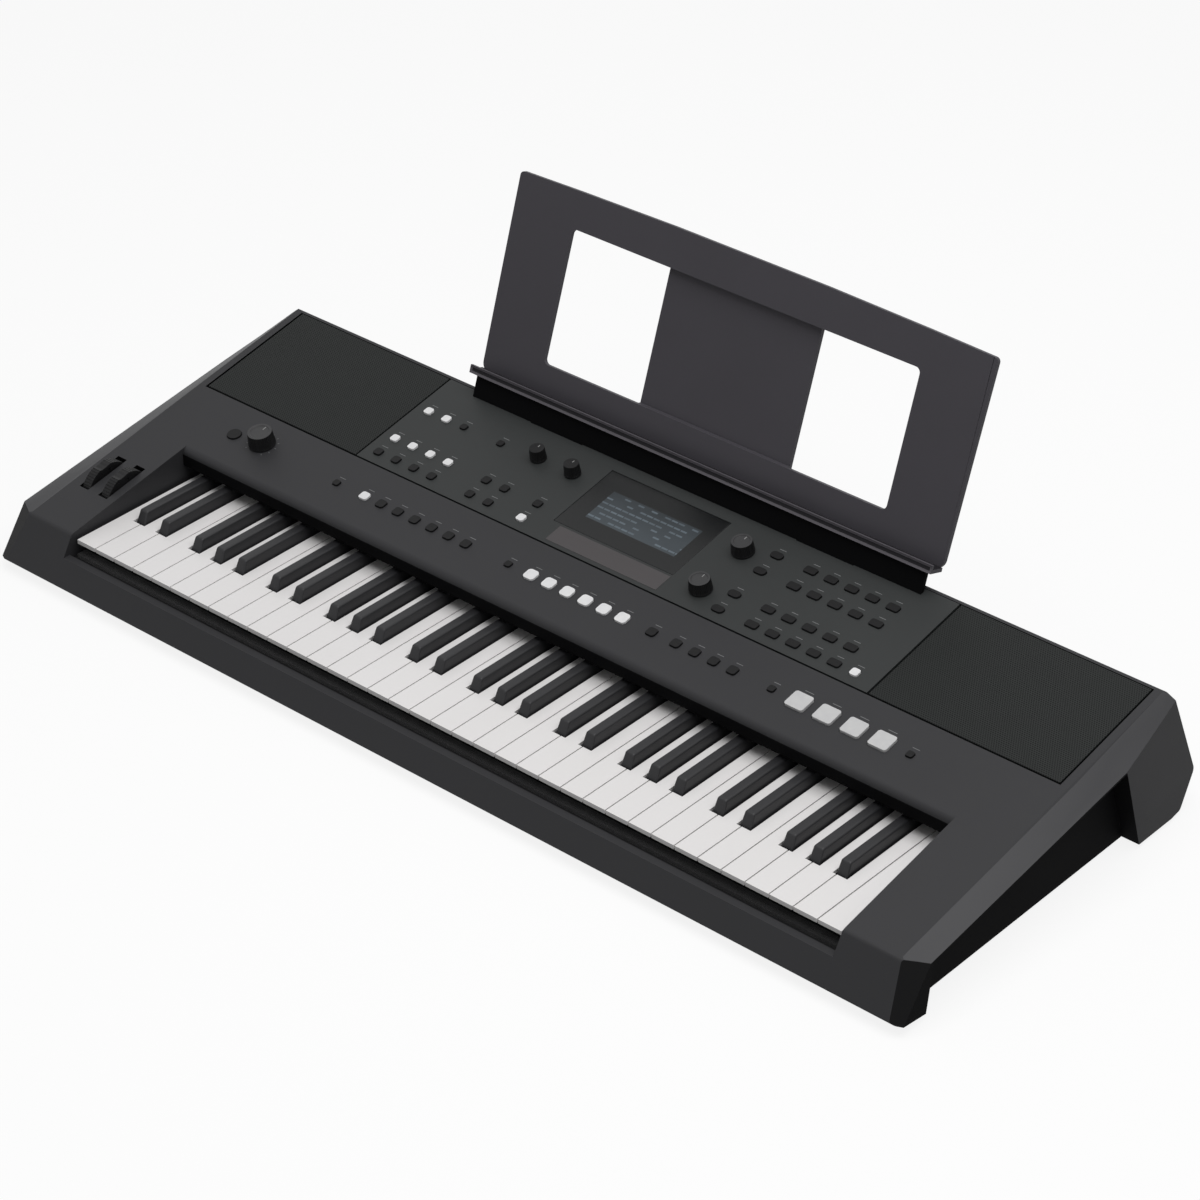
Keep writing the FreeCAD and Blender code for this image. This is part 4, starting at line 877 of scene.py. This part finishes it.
# Sockets: moulded bodies; the jacks' nuts and the inlet's pin are plated
socketLooks = {
    "pedal_jack": {"finish": plastics["socketPlastic"], "bevel": 0.25 * mm},
    "phones_jack": {"finish": plastics["socketPlastic"], "bevel": 0.25 * mm},
    "power_inlet": {"finish": plastics["socketPlastic"], "bevel": 0.25 * mm},
    "usb_socket": {"finish": metals["platedMetal"], "bevel": 0.2 * mm},
}
platedLook = {"nut": 4.2 * mm, "pinReach": 1.3 * mm}
for node, look in socketLooks.items():
    socket = dressNode(node, **look)
    low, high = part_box(node)
    middle = (low + high) / 2
    if node.endswith("jack"):
        addZone(socket, metals["platedMetal"],
                lambda centre, normal: centre.y > high.y - platedLook["nut"])
    if node == "power_inlet":
        addZone(socket, metals["platedMetal"], lambda centre, normal:
                math.hypot(centre.x - middle.x, centre.z - middle.z) < platedLook["pinReach"])
print("sockets dressed")

# Case screws: round heads with a cross recess, seen from below
screwLook = {"sides": 32, "headRadius": 3.3 * mm, "head": 2.0 * mm, "shankRadius": 1.5 * mm,
             "crossLong": 3.4 * mm, "crossWide": 0.8 * mm, "crossDeep": 1.1 * mm, "edge": 0.12 * mm,
             "crease": 42}


def makeScrews(look):
    boxes = islandBoxes("case_screws")
    length = boxes[0][1].z - boxes[0][0].z
    deselectAll()
    bpy.ops.mesh.primitive_cylinder_add(vertices=look["sides"], radius=look["headRadius"],
                                        depth=look["head"], location=(0, 0, look["head"] / 2))
    screw = settle(bpy.context.object)
    pickFaces(screw, lambda centre, normal: normal.z > squareOn)
    bpy.ops.mesh.inset(thickness=look["headRadius"] - look["shankRadius"])
    pushFaces((0, 0, length - look["head"]))
    leaveEdit()
    for turn in (0, math.pi / 2):
        deselectAll()
        bpy.ops.mesh.primitive_cube_add(size=1.0, rotation=(0, 0, turn))
        cutter = bpy.context.object
        cutter.scale = (look["crossLong"], look["crossWide"], look["crossDeep"] * 2)
        finishModifier(screw, "BOOLEAN", operation="DIFFERENCE", object=cutter, solver="EXACT")
        dropPiece(cutter)
    outwardFaces(screw)
    softenEdges(screw, look["edge"], 2, look["crease"])
    copies = []
    for index, (low, high) in enumerate(boxes):
        spot = Vector(((low.x + high.x) / 2, (low.y + high.y) / 2, low.z))
        copies.append(setDown(copyOf(screw, "screw%d" % index), Matrix.Translation(spot)))
    dropPiece(screw)
    screws = joinAll(copies, "caseScrews")
    coat(screws, metals["brushedSteel"])
    mount(screws, "case", slotOf["case_screws"], "case_screws")


makeScrews(screwLook)
print("screws made")

# Printed marks: plain bars beside the buttons and ticks round the volume knob
markLook = {"thick": 0.12 * mm, "topShares": (0.96, 0.86), "bar": (7.0 * mm, 0.7 * mm), "behind": 2.4 * mm,
            "padBar": (9.0 * mm, 0.7 * mm), "tick": (0.5 * mm, 1.8 * mm), "tickCount": 11,
            "tickGap": 2.2 * mm, "tickSweep": 280.0}


def modelMark(look):                 # one raised bar of unit size with sloping sides
    deselectAll()
    bpy.ops.mesh.primitive_cube_add(size=1.0)
    bar = bpy.context.object
    pickFaces(bar, lambda centre, normal: normal.z > squareOn)
    bpy.ops.transform.resize(value=(*look["topShares"], 1.0), center_override=(0, 0, 0.5))
    leaveEdit()
    return bar


def makeMarks(look):
    bar = modelMark(look)
    marks = []

    def stamp(x, y, width, length, turn=0.0):
        twin = copyOf(bar, "mark%d" % len(marks))
        size = Matrix.Diagonal((width, length, look["thick"], 1.0))
        marks.append(setDown(twin, panelPlace(x, y) @ Matrix.Rotation(turn, 4, "Z") @ size))

    for node, slot in slotOf.items():
        if slot not in ("dark_button", "white_button") or node == "power_button":
            continue
        for low, high in islandBoxes(node):
            size = look["padBar"] if node.startswith("pad") else look["bar"]
            stamp((low.x + high.x) / 2, high.y + look["behind"], *size)
    volume = joints["volume_knob_turn"]["pos_m"]
    reach = knobLooks["volume"]["radius"] + look["tickGap"]
    for index in range(look["tickCount"]):
        turn = math.radians(look["tickSweep"] * (0.5 - index / (look["tickCount"] - 1)))
        x = volume[0] - math.sin(turn) * reach
        y = volume[1] + math.cos(turn) * reach * math.cos(panelTilt)
        stamp(x, y, *look["tick"], turn)
    dropPiece(bar)
    printed = joinAll(marks, "panelMarks")
    coat(printed, plastics["markPaint"])
    mount(printed, "case", "panel_plastic")


makeMarks(markLook)
print("marks printed")

# Plain strip below the display
stripLook = {"left": -64.0 * mm, "right": 59.0 * mm, "front": 240.5 * mm, "back": 260.0 * mm,
             "thick": 0.25 * mm, "rimShare": 0.02, "edge": 0.1 * mm, "crease": 42}


def makeInfoStrip(look):             # half of its thickness lies in the panel
    deselectAll()
    bpy.ops.mesh.primitive_cube_add(size=1.0)
    strip = bpy.context.object
    strip.name = "infoStrip"
    pickFaces(strip, lambda centre, normal: normal.z > squareOn)
    bpy.ops.mesh.inset(thickness=look["rimShare"])
    leaveEdit()
    width = look["right"] - look["left"]
    length = (look["back"] - look["front"]) / math.cos(panelTilt)
    middle = ((look["left"] + look["right"]) / 2, caseFront + (look["front"] + look["back"]) / 2)
    setDown(strip, panelPlace(*middle) @ Matrix.Diagonal((width, length, look["thick"] * 2, 1.0)))
    softenEdges(strip, look["edge"], 2, look["crease"])
    coat(strip, plastics["infoStrip"])
    mount(strip, "case", "panel_plastic")


makeInfoStrip(stripLook)
print("display strip made")

# Floor, light and camera
stageLook = {"floorSize": 24.0, "floorGap": 0.3 * mm, "floorWhite": "fefefe", "floorShade": "ffffff",
             "floorBounce": "6a6a6a", "shadowShare": 0.13, "worldWhite": "ffffff", "worldLight": 0.30}


def cameraSees(tree):                # one for what the camera, a mirror or glass sees, else nought
    names = ("Is Camera Ray", "Is Glossy Ray", "Is Transmission Ray")
    camera, mirror, glass = [Wire(tree).node("ShaderNodeLightPath", output=name) for name in names]
    return camera.most(mirror.most(glass))


def makeFloor(look):                 # pale from above, and nothing hides the underside from below
    deselectAll()
    bpy.ops.mesh.primitive_plane_add(size=look["floorSize"], location=(0, 0, -look["floorGap"]))
    floor = settle(bpy.context.object)
    floor.name = "studioFloor"
    finish = bpy.data.materials.new("studioFloor")
    finish.use_nodes = True
    tree = finish.node_tree
    tree.nodes.remove(tree.nodes["Principled BSDF"])
    seen = cameraSees(tree)
    white = seen.node("ShaderNodeEmission", None, {"Color": tint(look["floorWhite"]), "Strength": 1.0})
    shade = seen.between(tint(look["floorBounce"]), tint(look["floorShade"]))
    matt = seen.node("ShaderNodeBsdfDiffuse", None, {"Color": shade})
    amount = seen * (1.0 - look["shadowShare"])
    mixed = seen.node("ShaderNodeMixShader", None, {0: amount, 1: matt, 2: white})
    below = seen.node("ShaderNodeNewGeometry", output="Backfacing")
    clear = seen.node("ShaderNodeBsdfTransparent")
    oneWay = seen.node("ShaderNodeMixShader", None, {0: below, 1: mixed, 2: clear})
    feed(tree.nodes["Material Output"], "Surface", oneWay)
    coat(floor, finish)


def makeWorld(look):
    world = bpy.data.worlds.new("studioWorld")
    bpy.context.scene.world = world
    world.use_nodes = True
    background = world.node_tree.nodes["Background"]
    background.inputs["Color"].default_value = tint(look["worldWhite"])
    seen = cameraSees(world.node_tree)
    feed(background, "Strength", look["worldLight"] + seen * (1.0 - look["worldLight"]))


lampLook = {"place": (0.5, -0.1, 2.3), "target": (0.0, 0.0, 0.05), "power": 43.0, "size": 2.2}


def addLamp(name, look):
    lamp = bpy.data.lights.new(name, "AREA")
    lamp.energy = look["power"]
    lamp.size = look["size"]
    holder = bpy.data.objects.new(name, lamp)
    bpy.context.scene.collection.objects.link(holder)
    holder.location = look["place"]
    back = Vector(look["place"]) - Vector(look["target"])
    holder.rotation_euler = back.to_track_quat("Z", "Y").to_euler()


cameraLook = {"place": (1.7371, -1.9917, 1.7777), "azimuth": 40.802, "elevation": 32.852, "roll": 0.184,
              "lens": 111.85, "sensor": 36.0, "nearest": 0.05}


def addCamera(name, look):
    lens = bpy.data.cameras.new(name)
    lens.lens = look["lens"]
    lens.sensor_width = look["sensor"]
    lens.sensor_fit = "HORIZONTAL"
    lens.clip_start = look["nearest"]
    camera = bpy.data.objects.new(name, lens)
    bpy.context.scene.collection.objects.link(camera)
    aim = Matrix.Rotation(math.radians(look["azimuth"]), 4, "Z")
    aim = aim @ Matrix.Rotation(math.radians(90 - look["elevation"]), 4, "X")
    aim = aim @ Matrix.Rotation(math.radians(look["roll"]), 4, "Z")
    camera.matrix_world = Matrix.Translation(look["place"]) @ aim
    bpy.context.scene.camera = camera


makeFloor(stageLook)
makeWorld(stageLook)
addLamp("keyLamp", lampLook)
addCamera("photoCamera", cameraLook)
bpy.context.scene.view_settings.view_transform = "Standard"
print("stage set")

deselectAll()
